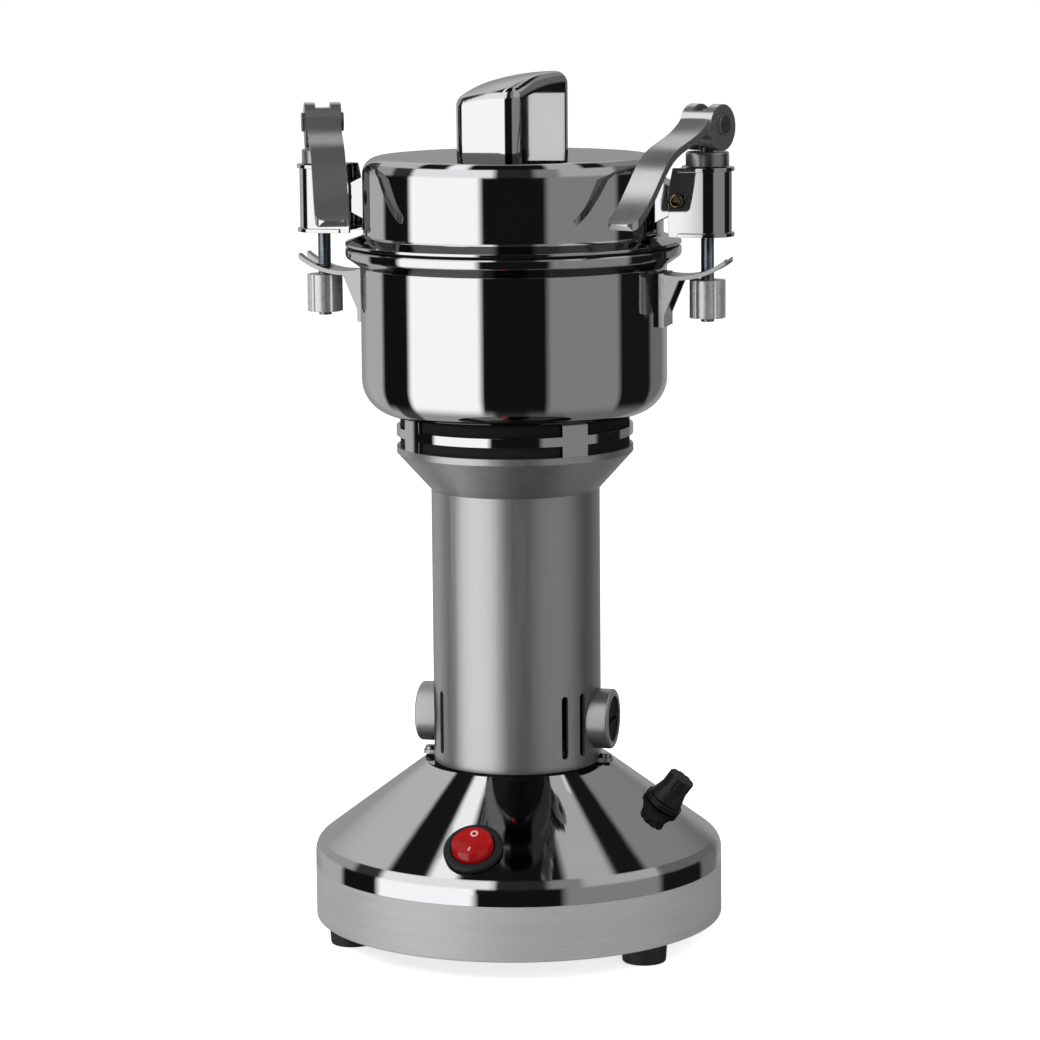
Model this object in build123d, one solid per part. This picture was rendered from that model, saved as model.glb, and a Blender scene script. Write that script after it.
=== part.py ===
from build123d import *
import math
import os

# Electric spice grinder: a steel grinding bowl with a clamped lid on a motor column and a conical base.
# Millimetres, +Z up. The origin lies on the ground under the column's axis, the switch faces -Y
# and the two lid clamps stand on +X and -X.

# Shared allowances
overrun = 2.0
fit_clearance = 0.05
running_clearance = 0.05
moving_clearance = 0.3

# Base: a steel ring on rubber feet, closed by a plate below and a cone above
base_radius = 80.0
stand_height = 8.2
ring_height = 21.6
ring_wall = 2.5
ring_edge_round = 0.8
ledge_width = 7.0
ledge_thickness = 3.0
plate_recess = 3.0
plate_thickness = 2.0
foot_count = 3
foot_first_angle = -30.0
foot_radius = 9.2
foot_taper = 0.8
foot_edge_gap = 0.6
foot_pocket_depth = 4.0
small_screw_radius = 2.0
small_head_radius = 3.8
small_head_height = 2.4
small_screw_bite = 2.4
skirt_height = 7.6
skirt_round = 6.5
cone_rise = 32.6
cone_top_margin = 3.7
cone_wall = 1.5
cone_edge_round = 1.0

# Fittings on the cone: rocker switch, fuse holder and cord gland
switch_angle = -90.0
switch_inset = 14.0
bezel_radius = 11.5
bezel_height = 2.2
bezel_round = 1.2
switch_barrel_radius = 9.8
switch_barrel_depth = 14.0
rocker_radius = 8.2
rocker_depth = 5.0
rocker_face_height = 2.6
rocker_tilt = 8.0
rocker_pivot_drop = 0.5
fuse_angle = 0.0
fuse_inset = 22.0
fuse_flange_radius = 7.8
fuse_flange_height = 2.6
fuse_barrel_radius = 6.2
fuse_barrel_depth = 24.0
fuse_stem_radius = 4.0
fuse_stem_depth = 18.0
fuse_skirt_radius = 6.9
fuse_skirt_height = 5.5
fuse_grip_radius = 5.4
fuse_grip_height = 5.4
fuse_groove_count = 10
fuse_groove_radius = 0.6
gland_angle = 90.0
gland_inset = 18.0
gland_flange_radius = 8.0
gland_flange_height = 2.5
gland_barrel_radius = 5.6
gland_barrel_depth = 9.0
cord_radius = 3.3

# Motor column: one casting with brush bosses, vent slots and a flared top
column_radius = 32.8
column_wall = 2.8
column_height = 107.4
flare_height = 14.6
lip_height = 2.5
lip_wall = 2.8
bracket_seat_width = 2.5
lug_height = 1.6
lug_radius = 2.9
lug_screw_radius = 1.6
lug_head_radius = 2.4
lug_head_height = 1.5
lug_screw_length = 7.0
vent_slot_width = 3.0
vent_slot_height = 24.8
vent_slot_angles = (25.0, 41.0)
boss_radius = 11.7
boss_projection = 6.2
boss_rise = 17.0
boss_edge_round = 1.0

# Brush gear in the bosses
holder_radius = 7.0
holder_gap = 5.0
brush_width = 6.6
brush_height = 9.0
brush_length = 15.0
brush_wrap = 2.2
brush_spring_radius = 2.8
brush_spring_wire = 0.7
cap_radius = 9.0
cap_thickness = 2.4
cap_recess_depth = 3.0
cap_slot_width = 1.6
cap_slot_depth = 1.1

# Motor: bearings, brackets, stator and rotor
shaft_radius = 4.0
shaft_tail = 10.0
bearing_radius = 11.0
bearing_height = 7.0
hub_wall = 2.5
lower_bracket_thickness = 4.0
lower_hub_drop = 9.0
bearing_lip = 2.0
upper_bracket_thickness = 4.5
upper_hub_drop = 4.5
air_window_count = 6
air_window_radius = 4.5
core_bottom_rise = 36.0
core_headroom = 27.4
air_gap = 0.6
stator_depth = 11.4
armature_slot_count = 12
armature_slot_width = 2.4
armature_slot_depth = 7.0
winding_overhang = 8.0
winding_inset = 2.5
coil_overhang = 9.0
coil_depth = 6.0
coil_inner_half_angle = 33.0
coil_outer_half_angle = 50.0
coil_clearance = 0.2
commutator_radius = 11.0
commutator_length = 20.0
commutator_bar_count = 16
commutator_groove = 0.5
fan_gap = 3.0
fan_plate = 1.5
fan_fin_height = 8.0
fan_fin_thickness = 1.2
fan_fin_count = 10
fan_hub_radius = 7.5
fan_rise = 4.0

# Vented collar under the bowl
collar_height = 12.3
collar_ring_height = 3.6
collar_ring_width = 1.4
screen_wall = 1.2
collar_post_width = 11.0
collar_post_depth = 9.0
collar_post_count = 4
collar_first_angle = 45.0
bowl_screw_radius = 1.6
bowl_screw_inset = 4.2
flare_margin = 5.0
bowl_head_radius = 3.0
bowl_head_height = 1.4
bowl_screw_bite = 3.0

# Grinding bowl
bowl_radius = 59.2
bowl_wall = 1.5
bowl_height = 65.0
bowl_corner_round = 14.0
rim_projection = 5.7
rim_height = 3.6
rim_flare_height = 4.0
rim_lower_round = 2.0
rim_edge_round = 1.2
seal_bore = 9.0
seal_flange_radius = 13.0
seal_flange_height = 3.5

# Blades
shoulder_radius = 6.0
shoulder_height = 1.5
shoulder_gap = 0.5
blade_width = 14.0
blade_thickness = 2.0
blade_bevel = 1.4
lower_blade_gap = 7.7
upper_blade_gap = 13.7
upper_blade_flat = 13.0
upper_blade_lift = 11.0
spacer_radius = 7.5
spacer_height = 6.0
blade_nut_radius = 7.5
blade_nut_height = 7.0
hexagon_count = 6

# Lid
lid_gap = 0.8
lid_inset = 1.2
lid_wall = 1.5
lid_flange_edge = 1.0
lid_flange_height = 3.4
lid_height = 33.6
lid_shoulder_round = 6.5
lid_crown = 0.9
seal_groove_width = 3.4
seal_groove_depth = 0.9
seal_groove_inset = 2.4
handle_length = 41.0
handle_width = 29.5
handle_height = 32.0
handle_turn = 69.0
handle_corner_round = 6.5
handle_crown_radius = 90.0
handle_crown_back = 14.0
handle_crown_side = 11.0
handle_edge_round = 5.0
handle_screw_radius = 3.0
handle_head_radius = 6.0
handle_head_height = 3.0
handle_screw_bite = 14.0

# Clamps: a swinging housing on the lid, a draw rod with a cam lever above and a nut below
rod_offset = 17.3
rod_radius = 2.5
pivot_inset = 10.0
pivot_rise = 17.4
pivot_screw_radius = 2.0
pivot_head_radius = 2.9
pivot_head_height = 2.2
pivot_socket_radius = 1.7
pivot_socket_depth = 1.2
lug_boss_radius = 4.0
lid_lug_base = 9.0
housing_radius = 9.3
housing_wall = 1.5
housing_height = 26.3
housing_drop = 13.8
housing_lip = 1.0
housing_flange = 3.2
housing_relief_rise = 4.5
housing_relief_setback = 4.5
plate_setback = 0.6
sleeve_wall = 2.4
rod_play = 0.3
clamp_collar_radius = 8.3
clamp_collar_height = 5.6
clamp_spigot_depth = 5.0
clamp_spigot_wall = 1.5
cam_radius = 8.8
cam_throw = 1.2
lever_turn = 69.0
lever_width = 14.0
lever_reach = 60.0
lever_drop = 34.0
lever_thickness = 2.8
strap_width = 13.0
strap_tip_round = 4.5
lever_curve_shares = ((0.11, 0.12), (0.34, -0.13), (0.56, -0.29), (0.71, -0.55), (0.83, -0.79), (1.0, -1.0))
lever_under_shares = (0.55, 0.83)
eye_radius = 5.6
eye_width = 5.4
eye_gap = 0.3
pin_radius = 2.5
pin_head_radius = 3.7
pin_head_height = 1.2
nut_radius = 6.9
nut_height = 14.6
nut_drop = 30.4
nut_flute_count = 6
nut_flute_radius = 1.7
rod_tail = 1.4

# Hooks on the bowl that the nuts pull against
hook_width = 15.0
hook_thickness = 1.6
hook_leg_thickness = 2.0
hook_leg_height = 19.0
hook_overhang = 8.3
hook_web_thickness = 1.6
hook_web_reach = 6.0
hook_slot_play = 0.8

# Heights and radii that follow from the sizes above
ring_top = stand_height + ring_height
plate_bottom = stand_height + plate_recess
plate_top = plate_bottom + plate_thickness
ring_bore = base_radius - ring_wall
foot_circle = ring_bore - foot_radius - foot_edge_gap
foot_angles = [foot_first_angle - n * 360.0 / foot_count for n in range(foot_count)]
switch_seat_radius = base_radius - switch_inset
fuse_seat_radius = base_radius - fuse_inset
gland_seat_radius = base_radius - gland_inset
cone_corner = ring_top + skirt_height
cone_top_radius = column_radius + cone_top_margin
cone_slope = math.atan2(cone_rise, base_radius - cone_top_radius)
column_bottom = cone_corner + cone_rise
column_bore = column_radius - column_wall
bowl_screw_circle = bowl_radius - bowl_corner_round - bowl_screw_inset
flare_radius = bowl_screw_circle + flare_margin
neck = column_bottom + column_height
lip_top = neck + flare_height + lip_height
bracket_radius = flare_radius - lip_wall - fit_clearance
boss_height = column_bottom + boss_rise
boss_reach = column_radius + boss_projection
hub_radius = bearing_radius + fit_clearance + hub_wall
bracket_seat = lip_top - upper_bracket_thickness
core_bottom = column_bottom + core_bottom_rise
core_top = column_bottom + column_height - core_headroom
armature_radius = column_bore - stator_depth - air_gap
winding_radius = armature_radius - winding_inset
fan_radius = column_bore - fan_gap
bowl_bottom = lip_top + collar_height
bowl_floor = bowl_bottom + bowl_wall
bowl_rim = bowl_bottom + bowl_height
rim_radius = bowl_radius + rim_projection
lower_blade_reach = bowl_radius - bowl_wall - lower_blade_gap
upper_blade_reach = bowl_radius - bowl_wall - upper_blade_gap
lid_bottom = bowl_rim + lid_gap
lid_top = lid_bottom + lid_height
lid_radius = bowl_radius - lid_inset
pivot_height = lid_bottom + pivot_rise
rod_circle = bowl_radius + rod_offset
pivot_radius = rod_circle - pivot_inset
hook_reach = rod_circle + hook_overhang
housing_bottom = pivot_height - housing_drop
housing_top = housing_bottom + housing_height
collar_seat = housing_top + moving_clearance
cam_seat = collar_seat + clamp_collar_height
pin_height = cam_seat + moving_clearance + cam_radius + cam_throw
nut_top = pivot_height - nut_drop
blade_seat = bowl_floor + seal_flange_height + shoulder_gap + shoulder_height
upper_blade_seat = blade_seat + blade_thickness + spacer_height
shaft_top = upper_blade_seat + blade_thickness + blade_nut_height
shaft_bottom = column_bottom - shaft_tail

UP = (Align.CENTER, Align.CENTER, Align.MIN)
DOWN = (Align.CENTER, Align.CENTER, Align.MAX)
OUTWARD = (Align.MIN, Align.CENTER, Align.CENTER)
OUTWARD_UP = (Align.MIN, Align.CENTER, Align.MIN)
ON_AXIS = (Align.NONE, Align.NONE, Align.MIN)


def turned(outline):
    """Solid of revolution about Z, from (radius, height) points; a third value rounds that corner."""
    face = make_face(Polyline(*[(radius, height) for radius, height, *_ in outline], close=True))
    for radius, height, *rounding in outline:
        if rounding:
            corner = face.vertices().sort_by_distance(Vector(radius, height))[0]
            face = fillet(corner, rounding[0])
    return revolve(Plane.XZ * face, Axis.Z)


def disc(radius, bottom, top):
    """Upright cylinder between two heights."""
    return Pos(0, 0, bottom) * Cylinder(radius, top - bottom, align=UP)


def tube(outer, inner, bottom, top):
    """Upright tube between two heights."""
    return disc(outer, bottom, top) - disc(inner, bottom - overrun, top + overrun)


def sector(outer, inner, middle, half_angle, bottom, top):
    """Piece of an upright tube, half_angle degrees to each side of the middle direction."""
    wedge = Cylinder(outer, top - bottom, arc_size=half_angle * 2, align=ON_AXIS)
    wedge = Pos(0, 0, bottom) * Rot(0, 0, middle - half_angle) * wedge
    return wedge - disc(inner, bottom - overrun, top + overrun)


def around(count, first_angle, radius, shape):
    """The shape repeated on a circle about Z, as a list of separate solids."""
    angles = [first_angle + n * 360.0 / count for n in range(count)]
    return [Rot(0, 0, angle) * Pos(radius, 0, 0) * shape for angle in angles]


def screw(shank_radius, length, head_radius, head_height):
    """Screw with its head above Z = 0 and its shank below."""
    head = Cylinder(head_radius, head_height, align=UP)
    rounded_head = fillet(head.edges().group_by(Axis.Z)[-1], head_height / 2)
    return rounded_head + Cylinder(shank_radius, length, align=DOWN)


def on_cone(angle, radius):
    """Place on the base cone: local Z along the cone's normal, local Y up the slope."""
    turn = math.radians(angle)
    height = cone_corner + (base_radius - radius) * math.tan(cone_slope)
    outward = Vector(math.cos(turn), math.sin(turn), 0)
    normal = outward * math.sin(cone_slope) + Vector(0, 0, math.cos(cone_slope))
    along = Vector(-math.sin(turn), math.cos(turn), 0)
    return Plane(origin=outward * radius + Vector(0, 0, height), x_dir=along, z_dir=normal).location


def toward_x(radius, length, start, height):
    """Cylinder along +X from start, at a height on the axis."""
    return Pos(start, 0, height) * Rot(0, 90, 0) * Cylinder(radius, length, align=UP)


def base_ring():
    """Steel ring with a ledge inside that the bottom plate is screwed to."""
    ledge_bore = ring_bore - ledge_width
    ledge_top = plate_top + ledge_thickness
    outline = [
        (base_radius, stand_height, ring_edge_round),
        (base_radius, ring_top),
        (ring_bore, ring_top),
        (ring_bore, ledge_top),
        (ledge_bore, ledge_top),
        (ledge_bore, plate_top),
        (ring_bore, plate_top),
        (ring_bore, stand_height),
    ]
    ring = turned(outline)
    hole = Pos(0, 0, plate_top) * Cylinder(small_screw_radius + fit_clearance, ledge_thickness)
    deep = Pos(0, 0, ledge_thickness / 2) * hole
    return ring - plate_screw_places(deep)


def plate_screw_places(shape):
    """The shape at each plate screw, between the feet and under the ledge."""
    circle = ring_bore - small_head_radius - moving_clearance
    return around(foot_count, foot_first_angle + 180.0 / foot_count, circle, shape)


def base_plate():
    """Bottom plate with holes for the feet and its own screws."""
    plate = disc(ring_bore - fit_clearance, plate_bottom, plate_top)
    drill = disc(small_screw_radius + fit_clearance, plate_bottom - overrun, plate_top + overrun)
    plate -= around(foot_count, foot_first_angle, foot_circle, drill)
    return plate - plate_screw_places(drill)


def foot(angle):
    """Tapered rubber foot with a pocket for its screw."""
    body = Cone(foot_radius - foot_taper, foot_radius, plate_bottom, align=UP)
    pocket = disc(small_head_radius + moving_clearance, -overrun, foot_pocket_depth)
    drill = disc(small_screw_radius + fit_clearance, -overrun, plate_bottom + overrun)
    return Rot(0, 0, angle) * Pos(foot_circle, 0, 0) * (body - pocket - drill)


def foot_screws():
    """Screws up through the feet into the bottom plate."""
    length = plate_top - foot_pocket_depth + small_screw_bite
    upside_down = Rot(180, 0, 0) * screw(small_screw_radius, length, small_head_radius, small_head_height)
    return around(foot_count, foot_first_angle, foot_circle, Pos(0, 0, foot_pocket_depth) * upside_down)


def plate_screws():
    """Screws that hold the bottom plate to the ring's ledge."""
    length = plate_thickness + ledge_thickness
    upside_down = Rot(180, 0, 0) * screw(small_screw_radius, length, small_head_radius, small_head_height)
    return plate_screw_places(Pos(0, 0, plate_bottom) * upside_down)


def base_cone():
    """Polished cone over the base, with holes for its fittings."""
    tangent = math.tan(cone_slope)
    slant = cone_wall / math.cos(cone_slope)
    inner_corner = cone_corner + cone_wall * tangent - slant
    inner_top_radius = base_radius - (cone_rise - cone_wall + slant) / tangent
    bore = hub_radius + moving_clearance
    outline = [
        (base_radius, ring_top),
        (base_radius, cone_corner, skirt_round),
        (cone_top_radius, column_bottom, cone_edge_round),
        (bore, column_bottom),
        (bore, column_bottom - cone_wall),
        (inner_top_radius, column_bottom - cone_wall),
        (base_radius - cone_wall, inner_corner, skirt_round - cone_wall),
        (base_radius - cone_wall, ring_top),
    ]
    cone = turned(outline)
    for angle, radius, hole in (
        (switch_angle, switch_seat_radius, switch_barrel_radius),
        (fuse_angle, fuse_seat_radius, fuse_barrel_radius),
        (gland_angle, gland_seat_radius, gland_barrel_radius),
    ):
        cone -= on_cone(angle, radius) * Cylinder(hole + fit_clearance, switch_barrel_depth)
    drill = disc(lug_screw_radius + fit_clearance, column_bottom - skirt_height, column_bottom + overrun)
    return cone - around(2, 0, lug_circle(), drill)


def lug_circle():
    """Radius of the column's foot screws, clear of the column's wall."""
    return column_radius + lug_head_radius + moving_clearance


def switch_body():
    """Round switch housing with its bezel and the well that the rocker tilts in."""
    bezel = Cylinder(bezel_radius, bezel_height, align=UP)
    bezel = fillet(bezel.edges().group_by(Axis.Z)[-1], bezel_round)
    barrel = Cylinder(switch_barrel_radius, switch_barrel_depth, align=DOWN)
    well = Pos(0, 0, rocker_pivot()) * Sphere(rocker_radius + moving_clearance)
    mouth = Pos(0, 0, rocker_pivot()) * Cylinder(rocker_radius + moving_clearance, bezel_height, align=UP)
    return on_cone(switch_angle, switch_seat_radius) * (bezel + barrel - well - mouth)


def rocker_pivot():
    """Height of the rocker's tilt axis above the cone."""
    return bezel_height - rocker_pivot_drop


def switch_rocker():
    """Dished rocker, pressed in at its upper half."""
    end = rocker_face_height + rocker_radius * math.tan(math.radians(rocker_tilt))
    outline = [
        (-rocker_radius, -rocker_depth),
        (rocker_radius, -rocker_depth),
        (rocker_radius, end),
        (0, rocker_face_height),
        (-rocker_radius, end),
    ]
    slab = extrude(Plane.YZ * make_face(Polyline(*outline, close=True)), rocker_radius, both=True)
    rocker = Rot(-rocker_tilt, 0, 0) * (slab & Sphere(rocker_radius))
    return on_cone(switch_angle, switch_seat_radius) * Pos(0, 0, rocker_pivot()) * rocker


def fuse_holder():
    """Panel fuse holder: flange and threaded barrel with the bore for the cap's stem."""
    body = Cylinder(fuse_flange_radius, fuse_flange_height, align=UP)
    body += Cylinder(fuse_barrel_radius, fuse_barrel_depth, align=DOWN)
    bore_length = fuse_flange_height + fuse_stem_depth + moving_clearance
    bore = Cylinder(fuse_stem_radius + running_clearance, bore_length + overrun, align=DOWN)
    return on_cone(fuse_angle, fuse_seat_radius) * (body - Pos(0, 0, fuse_flange_height + overrun) * bore)


def fuse_cap():
    """Screw cap of the fuse holder: tapered skirt, grooved grip and the stem that carries the fuse."""
    skirt = Cone(fuse_skirt_radius, fuse_grip_radius, fuse_skirt_height, align=UP)
    grip = Pos(0, 0, fuse_skirt_height) * Cylinder(fuse_grip_radius, fuse_grip_height, align=UP)
    groove = Pos(0, 0, fuse_skirt_height) * Cylinder(fuse_groove_radius, fuse_grip_height + overrun, align=UP)
    grip -= around(fuse_groove_count, 0, fuse_grip_radius, groove)
    stem = Cylinder(fuse_stem_radius, fuse_stem_depth + fuse_flange_height, align=DOWN)
    seat = Pos(0, 0, fuse_flange_height + moving_clearance)
    return on_cone(fuse_angle, fuse_seat_radius) * seat * (skirt + grip + stem)


def cord_gland():
    """Rubber bush in the back of the cone, where the mains cord would enter."""
    body = Cylinder(gland_flange_radius, gland_flange_height, align=UP)
    body = fillet(body.edges().group_by(Axis.Z)[-1], gland_flange_height / 2)
    body += Cylinder(gland_barrel_radius, gland_barrel_depth, align=DOWN)
    through = gland_barrel_depth + gland_flange_height + overrun + overrun
    bore = Pos(0, 0, -gland_barrel_depth - overrun) * Cylinder(cord_radius, through, align=UP)
    return on_cone(gland_angle, gland_seat_radius) * (body - bore)


def motor_column():
    """Cast column with a flared top, brush bosses, vent slots and two foot lugs."""
    lip_bore = flare_radius - lip_wall
    outline = [
        (column_radius, column_bottom),
        (column_radius, neck),
        (flare_radius, neck + flare_height),
        (flare_radius, lip_top),
        (lip_bore, lip_top),
        (lip_bore, bracket_seat),
        (lip_bore - bracket_seat_width, bracket_seat),
        (column_bore, neck),
        (column_bore, column_bottom),
    ]
    column = turned(outline)
    lug = disc(lug_radius, column_bottom, column_bottom + lug_height)
    bridge_length = lug_circle() - column_radius + column_wall / 2
    bridge = Box(bridge_length, lug_radius * 2, lug_height, align=UP)
    column += around(2, 0, lug_circle(), lug + Pos(-bridge_length / 2, 0, column_bottom) * bridge)
    lug_top = column_bottom + lug_height
    drill = disc(lug_screw_radius + fit_clearance, column_bottom - overrun, lug_top + overrun)
    column -= around(2, 0, lug_circle(), drill)
    boss = toward_x(boss_radius, boss_reach - column_bore, column_bore, boss_height)
    boss = fillet(boss.edges().group_by(Axis.X)[-1], boss_edge_round)
    column += around(2, 0, 0, boss)
    column -= disc(column_bore, column_bottom - overrun, neck)
    recess = toward_x(cap_radius, cap_recess_depth + overrun, boss_reach - cap_recess_depth, boss_height)
    bore = toward_x(holder_radius, boss_reach, column_bore / 2, boss_height)
    column -= around(2, 0, 0, recess + bore)
    slot_length = column_radius - column_bore / 2
    slot = Pos(column_bore / 2, 0, boss_height) * vent_slot(slot_length)
    for side in (0, 180):
        for angle in vent_slot_angles:
            for turn in (side - angle, side + angle):
                column -= Rot(0, 0, turn) * slot
    return column


def vent_slot(length):
    """Upright slot with round ends, cut along +X."""
    face = SlotOverall(vent_slot_height, vent_slot_width, rotation=90)
    return extrude(Plane.YZ * face, length + overrun)


def column_screws():
    """Screws through the column's foot lugs into the cone."""
    one = screw(lug_screw_radius, lug_screw_length, lug_head_radius, lug_head_height)
    return around(2, 0, lug_circle(), Pos(0, 0, column_bottom + lug_height) * one)


def both_sides(shape):
    """The shape on +X and its half turn on -X, as separate solids."""
    return around(2, 0, 0, shape)


def brush_holders():
    """Insulated sleeves in the bosses, with a square bore for the brush."""
    start = commutator_radius + holder_gap
    depth = boss_reach - cap_recess_depth - start
    sleeve = toward_x(holder_radius - fit_clearance, depth, start, boss_height)
    bore = Box(boss_reach, brush_width + running_clearance, brush_height + running_clearance)
    return both_sides(sleeve - Pos(start + depth / 2, 0, boss_height) * bore)


def carbon_brushes():
    """Carbon blocks that bear on the commutator."""
    start = commutator_radius + running_clearance
    block = Box(brush_length, brush_width, brush_height, align=OUTWARD)
    face = Pos(0, 0, boss_height) * Cylinder(start, brush_height + overrun)
    seat = start - brush_wrap
    return both_sides(Pos(seat, 0, boss_height) * block - face)


def brush_springs():
    """Springs between each brush and its cap, as plain tubes."""
    start = commutator_radius + running_clearance - brush_wrap + brush_length
    length = boss_reach - cap_recess_depth - start
    outer = toward_x(brush_spring_radius, length, start, boss_height)
    return both_sides(outer - toward_x(brush_spring_radius - brush_spring_wire, length, start, boss_height))


def brush_caps():
    """Slotted caps screwed into the brush bosses."""
    seat = boss_reach - cap_recess_depth
    cap = toward_x(cap_radius - fit_clearance, cap_thickness, seat, boss_height)
    slot = Box(cap_slot_depth + overrun, cap_radius * 2, cap_slot_width, align=OUTWARD)
    slot_floor = seat + cap_thickness - cap_slot_depth
    return both_sides(cap - Pos(slot_floor, 0, boss_height) * slot)


def lower_bracket():
    """Bracket in the column's foot with the lower bearing's pocket."""
    top = column_bottom + lower_bracket_thickness
    bottom = column_bottom - lower_hub_drop
    body = disc(column_bore - fit_clearance, column_bottom, top) + disc(hub_radius, bottom, top)
    pocket = disc(bearing_radius + fit_clearance, bottom - overrun, lower_bearing_top())
    return body - pocket - disc(shaft_radius + moving_clearance, bottom, top + overrun)


def lower_bearing_top():
    """Height of the lower bearing's upper face, against its pocket's end."""
    return column_bottom + lower_bracket_thickness / 2 - bearing_lip


def upper_bracket():
    """Bracket in the column's flare with the upper bearing's pocket and air windows."""
    bottom = bracket_seat - upper_hub_drop
    body = disc(bracket_radius, bracket_seat, lip_top) + disc(hub_radius, bottom, lip_top)
    body -= disc(bearing_radius + fit_clearance, bottom + bearing_lip, lip_top + overrun)
    body -= disc(shaft_radius + moving_clearance, bottom - overrun, lip_top)
    window = disc(air_window_radius, bracket_seat - overrun, lip_top + overrun)
    body -= around(air_window_count, 0, (hub_radius + bowl_screw_circle) / 2, window)
    drill = disc(bowl_screw_radius + fit_clearance, lip_top - bowl_screw_bite, lip_top + overrun)
    return body - around(collar_post_count, collar_first_angle, bowl_screw_circle, drill)


def bearings():
    """Lower and upper ball bearing, each as one ring with a running bore."""
    bottoms = (lower_bearing_top() - bearing_height, bracket_seat - upper_hub_drop + bearing_lip)
    bore = shaft_radius + running_clearance
    return [tube(bearing_radius, bore, bottom, bottom + bearing_height) for bottom in bottoms]


def stator_core():
    """Laminated stator with slots for the two field coils."""
    core = tube(column_bore - fit_clearance, armature_radius + air_gap, core_bottom, core_top)
    for pole in (0, 180):
        for side in (-1, 1):
            core -= coil_leg(pole, side, coil_clearance, core_bottom - overrun, core_top + overrun)
    return core


def coil_leg(pole, side, allowance, bottom, top):
    """One upright leg of a field coil beside its pole, grown by an allowance."""
    middle = pole + side * (coil_inner_half_angle + coil_outer_half_angle) / 2
    half = (coil_outer_half_angle - coil_inner_half_angle) / 2
    inner = armature_radius + air_gap + coil_clearance - allowance
    grown = half + math.degrees(allowance / armature_radius)
    return sector(inner + coil_depth + allowance * 2, inner, middle, grown, bottom, top)


def field_coils():
    """Field windings round the two poles, with their end turns clear of the core."""
    coils = []
    inner = armature_radius + air_gap + coil_clearance
    for pole in (0, 180):
        coil = coil_leg(pole, -1, 0, core_bottom - coil_overhang, core_top + coil_overhang)
        coil += coil_leg(pole, 1, 0, core_bottom - coil_overhang, core_top + coil_overhang)
        for bottom, top in (
            (core_bottom - coil_overhang, core_bottom - coil_clearance),
            (core_top + coil_clearance, core_top + coil_overhang),
        ):
            coil += sector(inner + coil_depth, inner, pole, coil_outer_half_angle, bottom, top)
        coils.append(coil)
    return coils


def armature_shaft():
    """Motor shaft up to the blades, with the shoulder that the blades sit on."""
    outline = [
        (0, shaft_bottom),
        (shaft_radius, shaft_bottom),
        (shaft_radius, blade_seat - shoulder_height),
        (shoulder_radius, blade_seat - shoulder_height),
        (shoulder_radius, blade_seat),
        (shaft_radius, blade_seat),
        (shaft_radius, shaft_top),
        (0, shaft_top),
    ]
    return turned(outline)


def armature_slot(allowance, bottom, top):
    """One winding slot of the armature, opening outwards, shrunk by an allowance."""
    depth = armature_slot_depth - allowance
    start = armature_radius - depth
    width = armature_slot_width - allowance * 2
    return Pos(start, 0, bottom) * Box(depth, width, top - bottom, align=OUTWARD_UP)


def armature_core():
    """Slotted lamination stack on the shaft."""
    core = tube(armature_radius, shaft_radius + fit_clearance, core_bottom, core_top)
    slot = armature_slot(0, core_bottom - overrun, core_top + overrun)
    wide = Pos(overrun, 0, 0) * slot
    return core - around(armature_slot_count, 0, 0, slot + wide)


def armature_winding():
    """Armature winding: end turns joined by a bar in each slot."""
    inside = shaft_radius + moving_clearance
    low = core_bottom - winding_overhang
    high = core_top + winding_overhang
    winding = tube(winding_radius, inside, low, core_bottom - fit_clearance)
    winding += tube(winding_radius, inside, core_top + fit_clearance, high)
    bar = armature_slot(fit_clearance, low, high) & disc(winding_radius, low, high)
    for placed in around(armature_slot_count, 0, 0, bar):
        winding += placed
    return winding


def commutator():
    """Commutator with grooves between its bars."""
    bottom = boss_height - commutator_length / 2
    body = tube(commutator_radius, shaft_radius + fit_clearance, bottom, bottom + commutator_length)
    groove = Pos(commutator_radius, 0, boss_height)
    groove *= Box(commutator_groove + commutator_groove, commutator_groove, commutator_length + overrun)
    return body - around(commutator_bar_count, 180.0 / commutator_bar_count, 0, groove)


def fan_bottom():
    """Height of the fan's plate, above the field coils' end turns."""
    return core_top + coil_overhang + fan_rise


def cooling_fan():
    """Radial fan that draws air up the column."""
    bottom = fan_bottom()
    top = bottom + fan_plate + fan_fin_height
    fan = disc(fan_radius, bottom, bottom + fan_plate) + disc(fan_hub_radius, bottom, top)
    fin_length = fan_radius - fan_hub_radius / 2
    fin = Box(fin_length, fan_fin_thickness, fan_fin_height + fan_plate, align=OUTWARD_UP)
    fin = Pos(fan_hub_radius / 2, 0, bottom) * fin
    for placed in around(fan_fin_count, 0, 0, fin):
        fan += placed
    fan = fan & disc(fan_radius, bottom, top)
    return fan - disc(shaft_radius + fit_clearance, bottom - overrun, top + overrun)


def vent_collar():
    """Ring on four posts that lifts the bowl off the column and lets the motor's air out."""
    gap = (collar_height - collar_ring_height) / 2
    ring_bottom = lip_top + gap
    ring_inner = flare_radius - collar_ring_width
    collar = tube(flare_radius, ring_inner, ring_bottom, ring_bottom + collar_ring_height)
    post = Box(flare_radius, collar_post_width, collar_height, align=OUTWARD_UP)
    post = Pos(flare_radius - collar_post_depth, 0, lip_top) * post
    for placed in around(collar_post_count, collar_first_angle, 0, post):
        collar += placed & disc(flare_radius, lip_top, bowl_bottom)
    drill = disc(bowl_screw_radius + fit_clearance, lip_top - overrun, bowl_bottom + overrun)
    return collar - around(collar_post_count, collar_first_angle, bowl_screw_circle, drill)


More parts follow.
